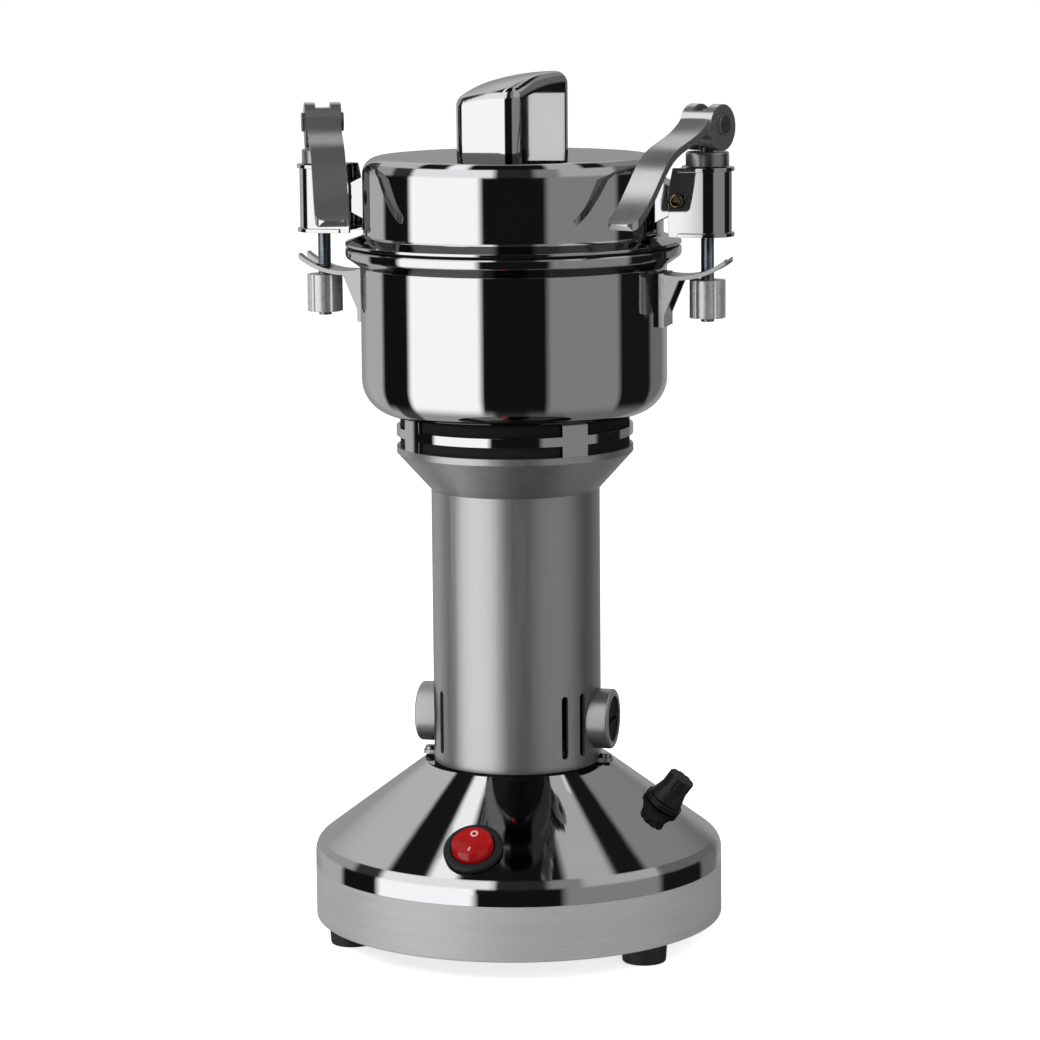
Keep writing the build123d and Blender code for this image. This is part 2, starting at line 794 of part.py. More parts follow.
def vent_screen():
    """Dark dust screens between the collar's posts, behind its ring."""
    outer = flare_radius - collar_ring_width - fit_clearance
    middle = collar_first_angle + 180.0 / collar_post_count
    post_share = (collar_post_width / 2 + fit_clearance) / (outer - screen_wall)
    half_angle = 180.0 / collar_post_count - math.degrees(math.asin(post_share))
    panel = sector(outer, outer - screen_wall, middle, half_angle, lip_top, bowl_bottom)
    return around(collar_post_count, 0, 0, panel)


def bowl():
    """Drawn steel bowl, with holes in its floor for the collar's screws."""
    inner = bowl_radius - bowl_wall
    outline = [
        (seal_bore, bowl_bottom),
        (bowl_radius, bowl_bottom, bowl_corner_round),
        (bowl_radius, bowl_rim),
        (inner, bowl_rim),
        (inner, bowl_floor, bowl_corner_round - bowl_wall),
        (seal_bore, bowl_floor),
    ]
    drill = disc(bowl_screw_radius + fit_clearance, bowl_bottom - overrun, bowl_floor + overrun)
    return turned(outline) - around(collar_post_count, collar_first_angle, bowl_screw_circle, drill)


def rim_ring():
    """Thick flared ring round the bowl's mouth, which the lid is drawn down on."""
    seat = bowl_radius + fit_clearance
    outline = [
        (seat, bowl_rim - rim_height - rim_flare_height),
        (rim_radius, bowl_rim - rim_height, rim_lower_round),
        (rim_radius, bowl_rim, rim_edge_round),
        (seat, bowl_rim),
    ]
    return turned(outline)


def bowl_screws():
    """Screws through the bowl's floor and the collar's posts into the upper bracket."""
    length = bowl_floor - lip_top + bowl_screw_bite
    one = screw(bowl_screw_radius, length, bowl_head_radius, bowl_head_height)
    return around(collar_post_count, collar_first_angle, bowl_screw_circle, Pos(0, 0, bowl_floor) * one)


def shaft_seal():
    """Flanged seal round the shaft in the bowl's floor."""
    outline = [
        (shaft_radius + running_clearance, bowl_bottom),
        (seal_bore - fit_clearance, bowl_bottom),
        (seal_bore - fit_clearance, bowl_floor),
        (seal_flange_radius, bowl_floor),
        (seal_flange_radius, bowl_floor + seal_flange_height, seal_flange_height / 2),
        (shaft_radius + running_clearance, bowl_floor + seal_flange_height),
    ]
    return turned(outline)


def blade_bore(bottom, top):
    """Hole for the shaft through a blade or spacer."""
    return disc(shaft_radius + fit_clearance, bottom - overrun, top + overrun)


def lower_blade():
    """Straight blade with a bevelled cutting edge on each arm."""
    top = blade_seat + blade_thickness
    arm = Box(lower_blade_reach, blade_width, blade_thickness, align=OUTWARD_UP)
    cutting_edge = arm.edges().filter_by(Axis.X).group_by(Axis.Z)[-1].sort_by(Axis.Y)[-1]
    arm = Pos(0, 0, blade_seat) * chamfer(cutting_edge, blade_bevel)
    blade = arm + Rot(0, 0, 180) * arm
    return blade - blade_bore(blade_seat, top)


def upper_blade():
    """Blade whose arms rise from a flat middle, set square to the lower one."""
    lifted = upper_blade_seat + upper_blade_lift
    outline = [
        (-upper_blade_reach, lifted),
        (-upper_blade_flat, upper_blade_seat),
        (upper_blade_flat, upper_blade_seat),
        (upper_blade_reach, lifted),
        (upper_blade_reach, lifted + blade_thickness),
        (upper_blade_flat, upper_blade_seat + blade_thickness),
        (-upper_blade_flat, upper_blade_seat + blade_thickness),
        (-upper_blade_reach, lifted + blade_thickness),
    ]
    blade = extrude(Plane.YZ * make_face(Polyline(*outline, close=True)), blade_width / 2, both=True)
    return blade - blade_bore(upper_blade_seat, lifted)


def blade_spacer():
    """Spacer between the two blades."""
    bottom = blade_seat + blade_thickness
    return tube(spacer_radius, shaft_radius + fit_clearance, bottom, bottom + spacer_height)


def blade_nut():
    """Domed hexagon nut that holds the blades on the shaft."""
    bottom = upper_blade_seat + blade_thickness
    body = Pos(0, 0, bottom) * extrude(RegularPolygon(blade_nut_radius, hexagon_count), blade_nut_height)
    return body - blade_bore(bottom, bottom + blade_nut_height)


def lid_shell():
    """Lid with an upright wall, a rounded shoulder and a slightly crowned top."""
    inner = lid_radius - lid_wall
    apex = lid_top + lid_crown
    outline = [
        (0, apex),
        (lid_radius, lid_top, lid_shoulder_round),
        (lid_radius, lid_bottom),
        (inner, lid_bottom),
        (inner, lid_top - lid_wall, lid_shoulder_round - lid_wall),
        (0, apex - lid_wall),
    ]
    return turned(outline) - disc(handle_screw_radius + fit_clearance, lid_bottom, apex + overrun)


def lid_flange():
    """Sloping ring round the lid's foot, with a groove below for the seal."""
    seat = lid_radius + fit_clearance
    outline = [
        (seat, lid_bottom + lid_flange_height),
        (rim_radius, lid_bottom + lid_flange_edge),
        (rim_radius, lid_bottom),
        (seat, lid_bottom),
    ]
    return turned(outline) - tube(*seal_groove(), lid_bottom - overrun, lid_bottom + seal_groove_depth)


def seal_groove():
    """Outer and inner radius of the seal's groove in the lid's flange."""
    outer = rim_radius - seal_groove_inset
    return outer, outer - seal_groove_width


def lid_seal():
    """Rubber ring between the lid's flange and the bowl's rim."""
    outer, inner = seal_groove()
    return tube(outer - fit_clearance, inner + fit_clearance, bowl_rim, lid_bottom + seal_groove_depth)


def lid_handle():
    """Solid block handle with rounded corners and a crown that is highest towards its back."""
    block = Pos(0, 0, lid_top) * Box(handle_length, handle_width, handle_height, align=UP)
    block = fillet(block.edges().filter_by(Axis.Z), handle_corner_round)
    crown_centre = lid_top + handle_height - handle_crown_radius
    block = block & (Pos(handle_crown_back, -handle_crown_side, crown_centre) * Sphere(handle_crown_radius))
    top_face = block.faces().filter_by(GeomType.SPHERE)[0]
    block = fillet(top_face.edges(), handle_edge_round)
    apex = lid_top + lid_crown
    seat = turned([(0, lid_bottom), (lid_radius, lid_bottom), (lid_radius, lid_top), (0, apex)])
    drill = disc(handle_screw_radius + fit_clearance, lid_bottom, apex + handle_screw_bite)
    return Rot(0, 0, handle_turn) * (block - seat - drill)


def handle_screw():
    """Screw from inside the lid up into the handle."""
    apex = lid_top + lid_crown
    length = lid_wall + handle_screw_bite
    one = screw(handle_screw_radius, length, handle_head_radius, handle_head_height)
    return Pos(0, 0, apex - lid_wall - fit_clearance - fit_clearance) * Rot(180, 0, 0) * one


def across(radius, width):
    """Cylinder along Y, centred on the clamp's middle plane."""
    return Rot(90, 0, 0) * Cylinder(radius, width)


def pivot_at(shape):
    """The shape moved to the clamp's pivot axis."""
    return Pos(pivot_radius, 0, pivot_height) * shape


def lug_width():
    """Width of the lid's lug between the housing's flanges."""
    gap = housing_radius - housing_wall - moving_clearance
    return gap * 2


def lid_lug():
    """Lug on the lid's wall that carries the clamp's pivot screw."""
    depth = lug_width()
    root = lid_radius - lid_wall - pivot_radius
    outline = [(root, -lid_lug_base), (0, -lug_boss_radius), (0, lug_boss_radius), (root, lid_lug_base)]
    web = extrude(Plane.XZ * make_face(Polyline(*outline, close=True)), depth / 2, both=True)
    lug = pivot_at(web + across(lug_boss_radius, depth))
    lug -= disc(lid_radius + fit_clearance, lid_bottom, lid_top)
    return lug - pivot_at(across(pivot_screw_radius + running_clearance, depth + overrun))


def clamp_plan(grow, setback):
    """Plan of the clamp's housing: a half round about the rod with straight sides towards the lid."""
    radius = housing_radius + grow
    straight = pivot_inset - setback
    box = Pos(-straight / 2, 0) * Rectangle(straight, radius * 2)
    round_end = Circle(radius) - Pos(-radius, 0) * Rectangle(radius * 2, radius * 2)
    return Pos(rod_circle, 0) * (box + round_end)


def clamp_housing():
    """Bent sheet housing with end plates and the sleeve that guides the draw rod."""
    back = -housing_flange
    strap = extrude(clamp_plan(0, back), housing_height)
    strap -= extrude(clamp_plan(-housing_wall, back - overrun), housing_height)
    plate = clamp_plan(housing_lip, plate_setback)
    sleeve_radius = rod_radius + rod_play + sleeve_wall
    strap += extrude(plate, housing_wall)
    strap += Pos(0, 0, housing_height - housing_wall) * extrude(plate, housing_wall)
    strap += Pos(rod_circle, 0, 0) * Cylinder(sleeve_radius, housing_height, align=UP)
    bore = Cylinder(rod_radius + rod_play, housing_height + overrun + overrun)
    strap -= Pos(rod_circle, 0, housing_height / 2) * bore
    spigot_well = clamp_spigot_depth + moving_clearance
    counterbore = Cylinder(spigot_radius() + running_clearance, spigot_well, align=DOWN)
    strap -= Pos(rod_circle, 0, housing_height) * counterbore
    housing = Pos(0, 0, housing_bottom) * strap
    relief = [
        (-housing_flange - overrun, housing_relief_rise),
        (-housing_flange, housing_relief_rise),
        (housing_relief_setback - housing_flange, housing_height),
        (-housing_flange - overrun, housing_height),
    ]
    cut = extrude(Plane.XZ * make_face(Polyline(*relief, close=True)), housing_radius + overrun, both=True)
    housing -= pivot_at(cut)
    return housing - pivot_at(across(pivot_screw_radius + fit_clearance, housing_radius * 2 + overrun))


def spigot_radius():
    """Outer radius of the collar's spigot inside the housing's sleeve."""
    return rod_radius + rod_play + clamp_spigot_wall


def clamp_screw():
    """Screw that the housing swings on, with a socket in its head."""
    length = housing_radius + housing_radius
    one = screw(pivot_screw_radius, length, pivot_head_radius, pivot_head_height)
    socket = extrude(RegularPolygon(pivot_socket_radius, hexagon_count), pivot_socket_depth + overrun)
    one -= Pos(0, 0, pivot_head_height - pivot_socket_depth) * socket
    return pivot_at(Pos(0, -housing_radius, 0) * Rot(90, 0, 0) * one)


def clamp_collar():
    """Collar that the lever's cams bear on, turning in the top of the housing."""
    body = Cylinder(clamp_collar_radius, clamp_collar_height, align=UP)
    body = fillet(body.edges().group_by(Axis.Z)[-1], housing_lip)
    body += Cylinder(spigot_radius(), clamp_spigot_depth, align=DOWN)
    body -= Cylinder(rod_radius + rod_play, housing_height + clamp_collar_height)
    return Pos(rod_circle, 0, collar_seat) * body


def in_lever_plane(shape):
    """Moves a shape made about the lever's pin, reaching along +X, to its place at rest."""
    return Pos(rod_circle, 0, pin_height) * Rot(0, 0, 180 + lever_turn) * shape


def draw_rod():
    """Threaded rod with the eye that the lever's pin passes through."""
    bottom = nut_top - nut_height - rod_tail
    eye = across(eye_radius, eye_width) - across(pin_radius + running_clearance, eye_width + overrun)
    shank = disc(rod_radius, bottom, pin_height - (eye_radius + pin_radius) / 2)
    bore = in_lever_plane(across(pin_radius + running_clearance, eye_width + overrun))
    return Pos(rod_circle, 0, 0) * shank - bore + in_lever_plane(eye)


def clamp_lever():
    """Cam lever: two round ears on the pin and a curved strap that drops to a rounded tip."""
    upper = [(x * lever_reach, z * lever_drop) for x, z in lever_curve_shares]
    shift_x = lever_thickness * lever_under_shares[0]
    shift_z = lever_thickness * lever_under_shares[1]
    lower = [(x - shift_x, z - shift_z) for x, z in upper]
    outline = Spline(*upper) + Line(upper[-1], lower[-1]) + Spline(*lower[::-1]) + Line(lower[0], upper[0])
    strap = extrude(Plane.XZ * make_face(outline), strap_width / 2, both=True)
    plan = RectangleRounded(lever_reach + strap_tip_round, strap_width, strap_tip_round)
    strap &= Pos((lever_reach - strap_tip_round) / 2, 0, 0) * extrude(plan, lever_drop * 2, both=True)
    ears = Pos(0, 0, -cam_throw) * across(cam_radius, lever_width)
    fork = eye_width + eye_gap + eye_gap
    throat_length = cam_radius + overrun + eye_radius + eye_gap
    throat = Box(throat_length, fork, lever_drop, align=(Align.MAX, Align.CENTER, Align.CENTER))
    lever = ears + strap - Pos(eye_radius + eye_gap, 0, 0) * throat
    lever -= across(pin_radius + fit_clearance, lever_width + overrun)
    return in_lever_plane(lever)


def lever_pin():
    """Headed pin through the lever's ears and the rod's eye."""
    head = across(pin_head_radius, pin_head_height)
    end = (lever_width + pin_head_height) / 2
    pin = across(pin_radius, lever_width) + Pos(0, end, 0) * head + Pos(0, -end, 0) * head
    return in_lever_plane(pin)


def adjusting_nut():
    """Fluted nut on the rod's lower end, which pulls against the bowl's hook."""
    body = Cylinder(nut_radius, nut_height, align=DOWN)
    flute = Cylinder(nut_flute_radius, nut_height, align=DOWN)
    body -= around(nut_flute_count, 0, nut_radius + nut_flute_radius / 2, flute)
    body -= Cylinder(rod_radius + running_clearance, nut_height * 2 + overrun)
    return Pos(rod_circle, 0, nut_top) * body


def bowl_hook():
    """Hook on the bowl: a leg on the wall and a shelf curved about the clamp's pivot, with an open slot."""
    arc = math.hypot(pivot_inset - nut_radius, nut_drop) - moving_clearance
    shell = across(arc, hook_width) - across(arc - hook_thickness, hook_width + overrun)
    window_start = bowl_radius - bowl_wall
    window = Box(hook_reach - window_start, hook_width + overrun, nut_drop, align=OUTWARD_UP)
    shelf = pivot_at(shell) & Pos(window_start, 0, nut_top - nut_height) * window
    shelf_foot = pivot_height - math.sqrt(arc ** 2 - (pivot_radius - bowl_radius) ** 2)
    leg_bottom = shelf_foot - hook_leg_height
    leg_depth = hook_leg_thickness + bowl_wall
    leg = Pos(bowl_radius + hook_leg_thickness - leg_depth / 2, 0, leg_bottom)
    leg *= Box(leg_depth, hook_width, hook_leg_height + hook_thickness, align=UP)
    hook = shelf + leg
    for side in (-1, 1):
        hook += hook_web(side, shelf_foot, leg_bottom)
    slot_radius = rod_radius + hook_slot_play
    slot = Pos(rod_circle, 0, nut_top) * Cylinder(slot_radius, nut_drop)
    mouth = Box(hook_overhang + overrun, slot_radius * 2, nut_drop, align=OUTWARD)
    slot += Pos(rod_circle, 0, nut_top) * mouth
    hook -= slot
    return hook - disc(bowl_radius + fit_clearance, bowl_bottom, bowl_rim)


def hook_web(side, shelf_foot, leg_bottom):
    """Triangular web that stiffens one edge of the hook."""
    tip = bowl_radius + hook_leg_thickness + hook_web_reach
    root = bowl_radius
    outline = [(root, leg_bottom), (root, shelf_foot), (tip, shelf_foot)]
    web = extrude(Plane.XZ * make_face(Polyline(*outline, close=True)), hook_web_thickness / 2, both=True)
    return Pos(0, side * (hook_width - hook_web_thickness) / 2, 0) * web


def on_left(shape):
    """The mirror image on the -X side."""
    return mirror(shape, about=Plane.YZ)


def build():
    """All nodes by name, each a solid or a list of like solids."""
    nodes = {
        "base_ring": base_ring(),
        "base_plate": base_plate(),
        "base_screws": foot_screws() + plate_screws(),
        "base_cone": base_cone(),
        "switch_body": switch_body(),
        "switch_rocker": switch_rocker(),
        "fuse_holder": fuse_holder(),
        "fuse_cap": fuse_cap(),
        "cord_gland": cord_gland(),
        "motor_column": motor_column(),
        "column_screws": column_screws(),
        "brush_holders": brush_holders(),
        "carbon_brushes": carbon_brushes(),
        "brush_springs": brush_springs(),
        "brush_caps": brush_caps(),
        "lower_bracket": lower_bracket(),
        "upper_bracket": upper_bracket(),
        "bearings": bearings(),
        "stator_core": stator_core(),
        "field_coils": field_coils(),
        "armature_shaft": armature_shaft(),
        "armature_core": armature_core(),
        "armature_winding": armature_winding(),
        "commutator": commutator(),
        "cooling_fan": cooling_fan(),
        "vent_collar": vent_collar(),
        "vent_screen": vent_screen(),
        "bowl": bowl(),
        "rim_ring": rim_ring(),
        "bowl_screws": bowl_screws(),
        "shaft_seal": shaft_seal(),
        "lower_blade": lower_blade(),
        "upper_blade": upper_blade(),
        "blade_spacer": blade_spacer(),
        "blade_nut": blade_nut(),
        "lid_shell": lid_shell(),
        "lid_flange": lid_flange(),
        "lid_seal": lid_seal(),
        "lid_handle": lid_handle(),
        "handle_screw": handle_screw(),
    }
    for place, angle in zip(("front_right", "front_left", "rear"), foot_angles):
        nodes[f"foot_{place}"] = foot(angle)
    paired = {
        "lid_lug": lid_lug(),
        "clamp_housing": clamp_housing(),
        "clamp_screw": clamp_screw(),
        "clamp_collar": clamp_collar(),
        "draw_rod": draw_rod(),
        "clamp_lever": clamp_lever(),
        "lever_pin": lever_pin(),
        "adjusting_nut": adjusting_nut(),
        "bowl_hook": bowl_hook(),
    }
    for name, shape in paired.items():
        if name in ("lid_lug", "bowl_hook"):
            nodes[f"{name}s"] = [shape, on_left(shape)]
        else:
            nodes[f"{name}_right"] = shape
            nodes[f"{name}_left"] = on_left(shape)
    return nodes


os.makedirs("parts", exist_ok=True)
for node, shape in build().items():
    solids = shape if isinstance(shape, list) else [shape]
    whole = Compound(children=[s for piece in solids for s in piece.solids()])
    export_step(whole, f"parts/{node}.step")
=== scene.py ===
"""Looks of an upright electric spice grinder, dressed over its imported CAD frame."""

import logging
import math
from dataclasses import dataclass, field
from enum import Enum

import bmesh
import bpy
from mathutils import Matrix, Vector


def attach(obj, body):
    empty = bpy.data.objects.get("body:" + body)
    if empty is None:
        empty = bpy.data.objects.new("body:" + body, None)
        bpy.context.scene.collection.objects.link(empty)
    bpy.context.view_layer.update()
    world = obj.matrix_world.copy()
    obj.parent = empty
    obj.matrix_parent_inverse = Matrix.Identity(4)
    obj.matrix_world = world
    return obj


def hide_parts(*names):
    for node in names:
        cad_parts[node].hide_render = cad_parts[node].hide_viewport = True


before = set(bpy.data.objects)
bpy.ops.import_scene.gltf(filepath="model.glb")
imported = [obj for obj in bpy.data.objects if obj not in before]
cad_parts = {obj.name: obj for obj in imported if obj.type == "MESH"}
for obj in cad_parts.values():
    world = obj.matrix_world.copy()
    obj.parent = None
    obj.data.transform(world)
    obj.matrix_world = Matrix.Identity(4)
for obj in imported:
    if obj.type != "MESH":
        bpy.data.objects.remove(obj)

LOG = logging.getLogger("spice_grinder")
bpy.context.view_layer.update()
MM = 0.001
SHARP_ANGLE = 32.0  # degrees past which an edge stays sharp
FLAT_ANGLE = 0.5  # degrees under which neighbouring facets are one face
WELD = 1e-6  # metres within which points are one
EDGE_STEPS = 2  # faces across the rounding of an edge
LARGE_TURN, FOOT_TURN, MARK_TURN = 256, 48, 40  # steps round the axis
LARGE_ROUND, PLAIN_ROUND, FOOT_ROUND = 14, 10, 6  # steps along the rounding of an outline
PATH_RADIUS = 0.1  # metres; radius of the circle that an outline is swept round
WAVE_LENGTH = math.pi / 10.0  # metres between the crests of a wave texture of scale 1
INSIDE_SHADE, INSIDE_SHADE_FADE = 0.012, 0.0005  # level of the painted shade inside the column, and metres over which it fades
WHITE = 1.0
MIX_SHARE, MIX_FIRST, MIX_SECOND, MIX_RESULT = 0, 6, 7, 2  # sockets of a colour mix

Color = tuple[float, float, float]
Point = tuple[float, float]
Corner = tuple[float, float, float]
Bands = tuple[Point, ...]
Tree = bpy.types.NodeTree
Node = bpy.types.Node
Socket = bpy.types.NodeSocket


class Grain(Enum):
    """How a finish breaks up: the scale and stretch of its surface noise."""

    SMUDGE = (35.0, 35.0, 35.0)
    BRUSHED_UP = (900.0, 900.0, 24.0)
    BRUSHED_ROUND = (60.0, 60.0, 2200.0)
    CAST = (650.0, 650.0, 650.0)
    MOULDED = (900.0, 900.0, 900.0)
    RUBBER = (420.0, 420.0, 420.0)


class Edge(Enum):
    """How far the sharp edges of a piece are rounded, in millimetres."""

    HAIR = 0.15
    FINE = 0.2
    CRISP = 0.25
    EASED = 0.3
    SOFT = 0.35
    BLUNT = 0.4
    ROUND = 0.7


class Side(Enum):
    """Side of the lid that a clamp stands on."""

    RIGHT = "right"
    LEFT = "left"


@dataclass(frozen=True)
class Finish:
    """One finish: its colours, its roughness range and the grain that varies them.

    A thread is given by its pitch, and the painted shade inside a casting by a radius about Z,
    both in metres. The last field is the share of the colour that polished metal mirrors; the
    rest of it is painted shade.
    """

    name: str
    slot: str
    color: Color
    shade: Color
    metallic: float
    roughness: Point
    grain: Grain
    bump: float = 0.0
    bump_distance: float = 0.0001
    specular: float = 0.5
    coat: float = 0.0
    thread: float = 0.0
    # radius about Z inside which painted shade darkens the inside of a casting
    painted_shade_within: float = 0.0
    # share of the colour kept where polished metal mirrors it; the rest is painted shade
    kept_under_painted_mirror_shade: float = 1.0


MIRROR_STEEL = Finish(
    "mirror_steel", "polished_steel", (0.93, 0.93, 0.94), (0.88, 0.885, 0.90),
    metallic=1.0, roughness=(0.015, 0.06), grain=Grain.SMUDGE,
)
HOOK_STEEL = Finish(
    "hook_steel", "polished_steel", (0.66, 0.66, 0.67), (0.52, 0.525, 0.54),
    metallic=1.0, roughness=(0.16, 0.30), grain=Grain.CAST, bump=0.06,
)
LEVER_STEEL = Finish(
    "lever_steel", "polished_steel", (0.93, 0.93, 0.94), (0.86, 0.86, 0.88),
    metallic=0.94, roughness=(0.14, 0.24), grain=Grain.SMUDGE,
)
SATIN_STEEL = Finish(
    "satin_steel", "satin_steel", (0.68, 0.68, 0.69), (0.58, 0.58, 0.59),
    metallic=1.0, roughness=(0.25, 0.38), grain=Grain.BRUSHED_ROUND, bump=0.05,
)
TURNED_STEEL = Finish(
    "turned_steel", "turned_steel", (0.52, 0.53, 0.54), (0.42, 0.43, 0.44),
    metallic=1.0, roughness=(0.22, 0.36), grain=Grain.BRUSHED_ROUND, bump=0.05,
)
SATIN_CAST = Finish(
    "satin_cast", "cast_satin", (0.86, 0.86, 0.87), (0.76, 0.765, 0.775),
    metallic=0.75, roughness=(0.30, 0.42), grain=Grain.BRUSHED_UP, bump=0.06,
)
COLUMN_CAST = Finish(
    "column_cast", "cast_satin", (0.70, 0.70, 0.71), (0.60, 0.605, 0.615),
    metallic=0.93, roughness=(0.30, 0.42), grain=Grain.BRUSHED_UP, bump=0.06,
    # painted shade in mirrors: polished metal shows only 8 % of the column's colour
    # painted shade: the column's inside is near black
    painted_shade_within=0.0318, kept_under_painted_mirror_shade=0.08,
)
BAND_CAST = Finish(
    "band_cast", "cast_satin", (0.56, 0.56, 0.56), (0.48, 0.48, 0.485),
    metallic=0.5, roughness=(0.48, 0.60), grain=Grain.BRUSHED_ROUND, bump=0.04,
)
NUT_CAST = Finish(
    "nut_cast", "cast_satin", (0.86, 0.86, 0.87), (0.64, 0.64, 0.66),
    metallic=0.78, roughness=(0.22, 0.38), grain=Grain.CAST, bump=0.12,
)
ZINC = Finish(
    "zinc", "zinc_steel", (0.62, 0.66, 0.72), (0.48, 0.52, 0.58),
    metallic=1.0, roughness=(0.18, 0.34), grain=Grain.CAST, bump=0.05,
)
THREADED_ZINC = Finish(
    "threaded_zinc", "zinc_steel", (0.60, 0.66, 0.74), (0.46, 0.51, 0.58),
    metallic=1.0, roughness=(0.16, 0.30), grain=Grain.CAST, bump=0.5, bump_distance=0.0003,
    thread=0.0008,
)
BRASS = Finish(
    "screw_brass", "brass", (0.40, 0.32, 0.18), (0.28, 0.21, 0.11),
    metallic=1.0, roughness=(0.20, 0.34), grain=Grain.CAST, bump=0.04,
)
COPPER = Finish(
    "copper", "copper", (0.62, 0.27, 0.12), (0.42, 0.16, 0.07),
    metallic=0.9, roughness=(0.28, 0.44), grain=Grain.BRUSHED_UP, bump=0.20,
)
LAMINATION = Finish(
    "lamination", "lamination", (0.24, 0.24, 0.25), (0.15, 0.15, 0.16),
    metallic=0.8, roughness=(0.40, 0.60), grain=Grain.BRUSHED_ROUND, bump=0.15,
)
CARBON = Finish(
    "carbon", "carbon", (0.035, 0.035, 0.035), (0.018, 0.018, 0.018),
    metallic=0.0, roughness=(0.55, 0.75), grain=Grain.CAST, bump=0.20,
)
BLACK_PLASTIC = Finish(
    "black_plastic", "black_plastic", (0.013, 0.013, 0.014), (0.008, 0.008, 0.009),
    metallic=0.0, roughness=(0.34, 0.48), grain=Grain.MOULDED, bump=0.08, specular=0.35,
)
CAP_PLASTIC = Finish(
    "cap_plastic", "black_plastic", (0.008, 0.008, 0.009), (0.005, 0.005, 0.005),
    metallic=0.0, roughness=(0.50, 0.62), grain=Grain.MOULDED, bump=0.08, specular=0.15,
)
# painted shade: near-black screen that stands for the shade seen through the vent slots
SHADE_SCREEN = Finish(
    "shade_screen", "black_plastic", (0.006, 0.006, 0.007), (0.003, 0.003, 0.003),
    metallic=0.0, roughness=(0.70, 0.85), grain=Grain.MOULDED, bump=0.10,
)
BLACK_RUBBER = Finish(
    "black_rubber", "black_rubber", (0.022, 0.022, 0.022), (0.012, 0.012, 0.012),
    metallic=0.0, roughness=(0.55, 0.72), grain=Grain.RUBBER, bump=0.15,
)
RED_PLASTIC = Finish(
    "red_plastic", "red_plastic", (0.34, 0.007, 0.008), (0.26, 0.004, 0.005),
    metallic=0.0, roughness=(0.10, 0.18), grain=Grain.MOULDED, bump=0.02, coat=0.4,
)
MARK_WHITE = Finish(
    "mark_white", "red_plastic", (0.62, 0.44, 0.42), (0.52, 0.36, 0.34),
    metallic=0.0, roughness=(0.30, 0.40), grain=Grain.MOULDED, bump=0.02,
)

# Finishes of the CAD nodes that show as they are, or are hidden inside.
CAD_FINISHES: dict[str, Finish] = {
    "base_plate": SATIN_STEEL,
    "base_screws": ZINC,
    "column_screws": ZINC,
    "brush_holders": BLACK_PLASTIC,
    "carbon_brushes": CARBON,
    "brush_springs": TURNED_STEEL,
    "lower_bracket": SATIN_CAST,
    "upper_bracket": SATIN_CAST,
    "bearings": TURNED_STEEL,
    "stator_core": LAMINATION,
    "field_coils": COPPER,
    "armature_shaft": TURNED_STEEL,
    "armature_core": LAMINATION,
    "armature_winding": COPPER,
    "commutator": COPPER,
    "cooling_fan": BLACK_PLASTIC,
    "bowl_screws": ZINC,
    "shaft_seal": BLACK_RUBBER,
    "lower_blade": SATIN_STEEL,
    "upper_blade": SATIN_STEEL,
    "blade_spacer": TURNED_STEEL,
    "blade_nut": ZINC,
    "lid_seal": BLACK_RUBBER,
    "handle_screw": ZINC,
}


def grey(level: float) -> tuple[float, float, float, float]:
    """An opaque grey of a level."""
    return (level, level, level, 1.0)


def wire(tree: Tree, *joins: tuple[Node, str | int, Node, str | int]) -> None:
    """Links nodes of a tree.

    Args:
        tree: The tree that holds the nodes.
        joins: For each link a node, its output, another node and its input.
    """
    for start, output, end, entry in joins:
        tree.links.new(start.outputs[output], end.inputs[entry])


def feed(tree: Tree, entry: Socket, value: object) -> None:
    """Gives an input its value.

    Args:
        tree: The tree that holds the input.
        entry: The input.
        value: A socket to link to it, or a plain value to set it to.
    """
    if isinstance(value, bpy.types.NodeSocket):
        tree.links.new(value, entry)
    else:
        entry.default_value = value


def object_place(tree: Tree) -> Socket:
    """The socket with a piece's own coordinates, in a material's tree."""
    return tree.nodes.new("ShaderNodeTexCoord").outputs["Object"]


def calculate(tree: Tree, kind: str, operation: str, *values: object) -> Node:
    """Adds a math node to a shader tree.

    Args:
        tree: The tree.
        kind: Math for numbers, VectorMath for vectors.
        operation: What it works out.
        values: Sockets or plain values for its inputs, in order.

    Returns:
        The node.
    """
    node = tree.nodes.new(f"ShaderNode{kind}")
    node.operation = operation
    for entry, value in zip(node.inputs, values):
        feed(tree, entry, value)
    return node


def number(tree: Tree, operation: str, *values: object) -> Socket:
    """The result of a math node fed with sockets or numbers."""
    return calculate(tree, "Math", operation, *values).outputs["Value"]


def remap(
    tree: Tree, value: Socket, source: Point, target: Point = (0.0, 1.0), ease: bool = False
) -> Socket:
    """Maps one range of a value to another, and holds it at the ends.

    Args:
        tree: The tree to add the node to.
        value: The socket with the value.
        source: Where the range starts and ends.
        target: What its start and end become.
        ease: Whether the range eases in and out.

    Returns:
        The socket with the mapped value.
    """
    node = tree.nodes.new("ShaderNodeMapRange")
    node.interpolation_type = "SMOOTHSTEP" if ease else "LINEAR"
    node.inputs["From Min"].default_value, node.inputs["From Max"].default_value = source
    node.inputs["To Min"].default_value, node.inputs["To Max"].default_value = target
    tree.links.new(value, node.inputs["Value"])
    return node.outputs["Result"]


def mix_colors(
    tree: Tree, share: Socket, first: object, second: object, blend: str = "MIX"
) -> Socket:
    """Mixes two colours.

    Args:
        tree: The tree to add the node to.
        share: The socket with the share of the second colour.
        first: First colour, as a socket or a plain value.
        second: Second colour, likewise.
        blend: How the second colour goes over the first.

    Returns:
        The socket with the mixed colour.
    """
    node = tree.nodes.new("ShaderNodeMix")
    node.data_type = "RGBA"
    node.blend_type = blend
    for index, value in ((MIX_SHARE, share), (MIX_FIRST, first), (MIX_SECOND, second)):
        feed(tree, node.inputs[index], value)
    return node.outputs[MIX_RESULT]


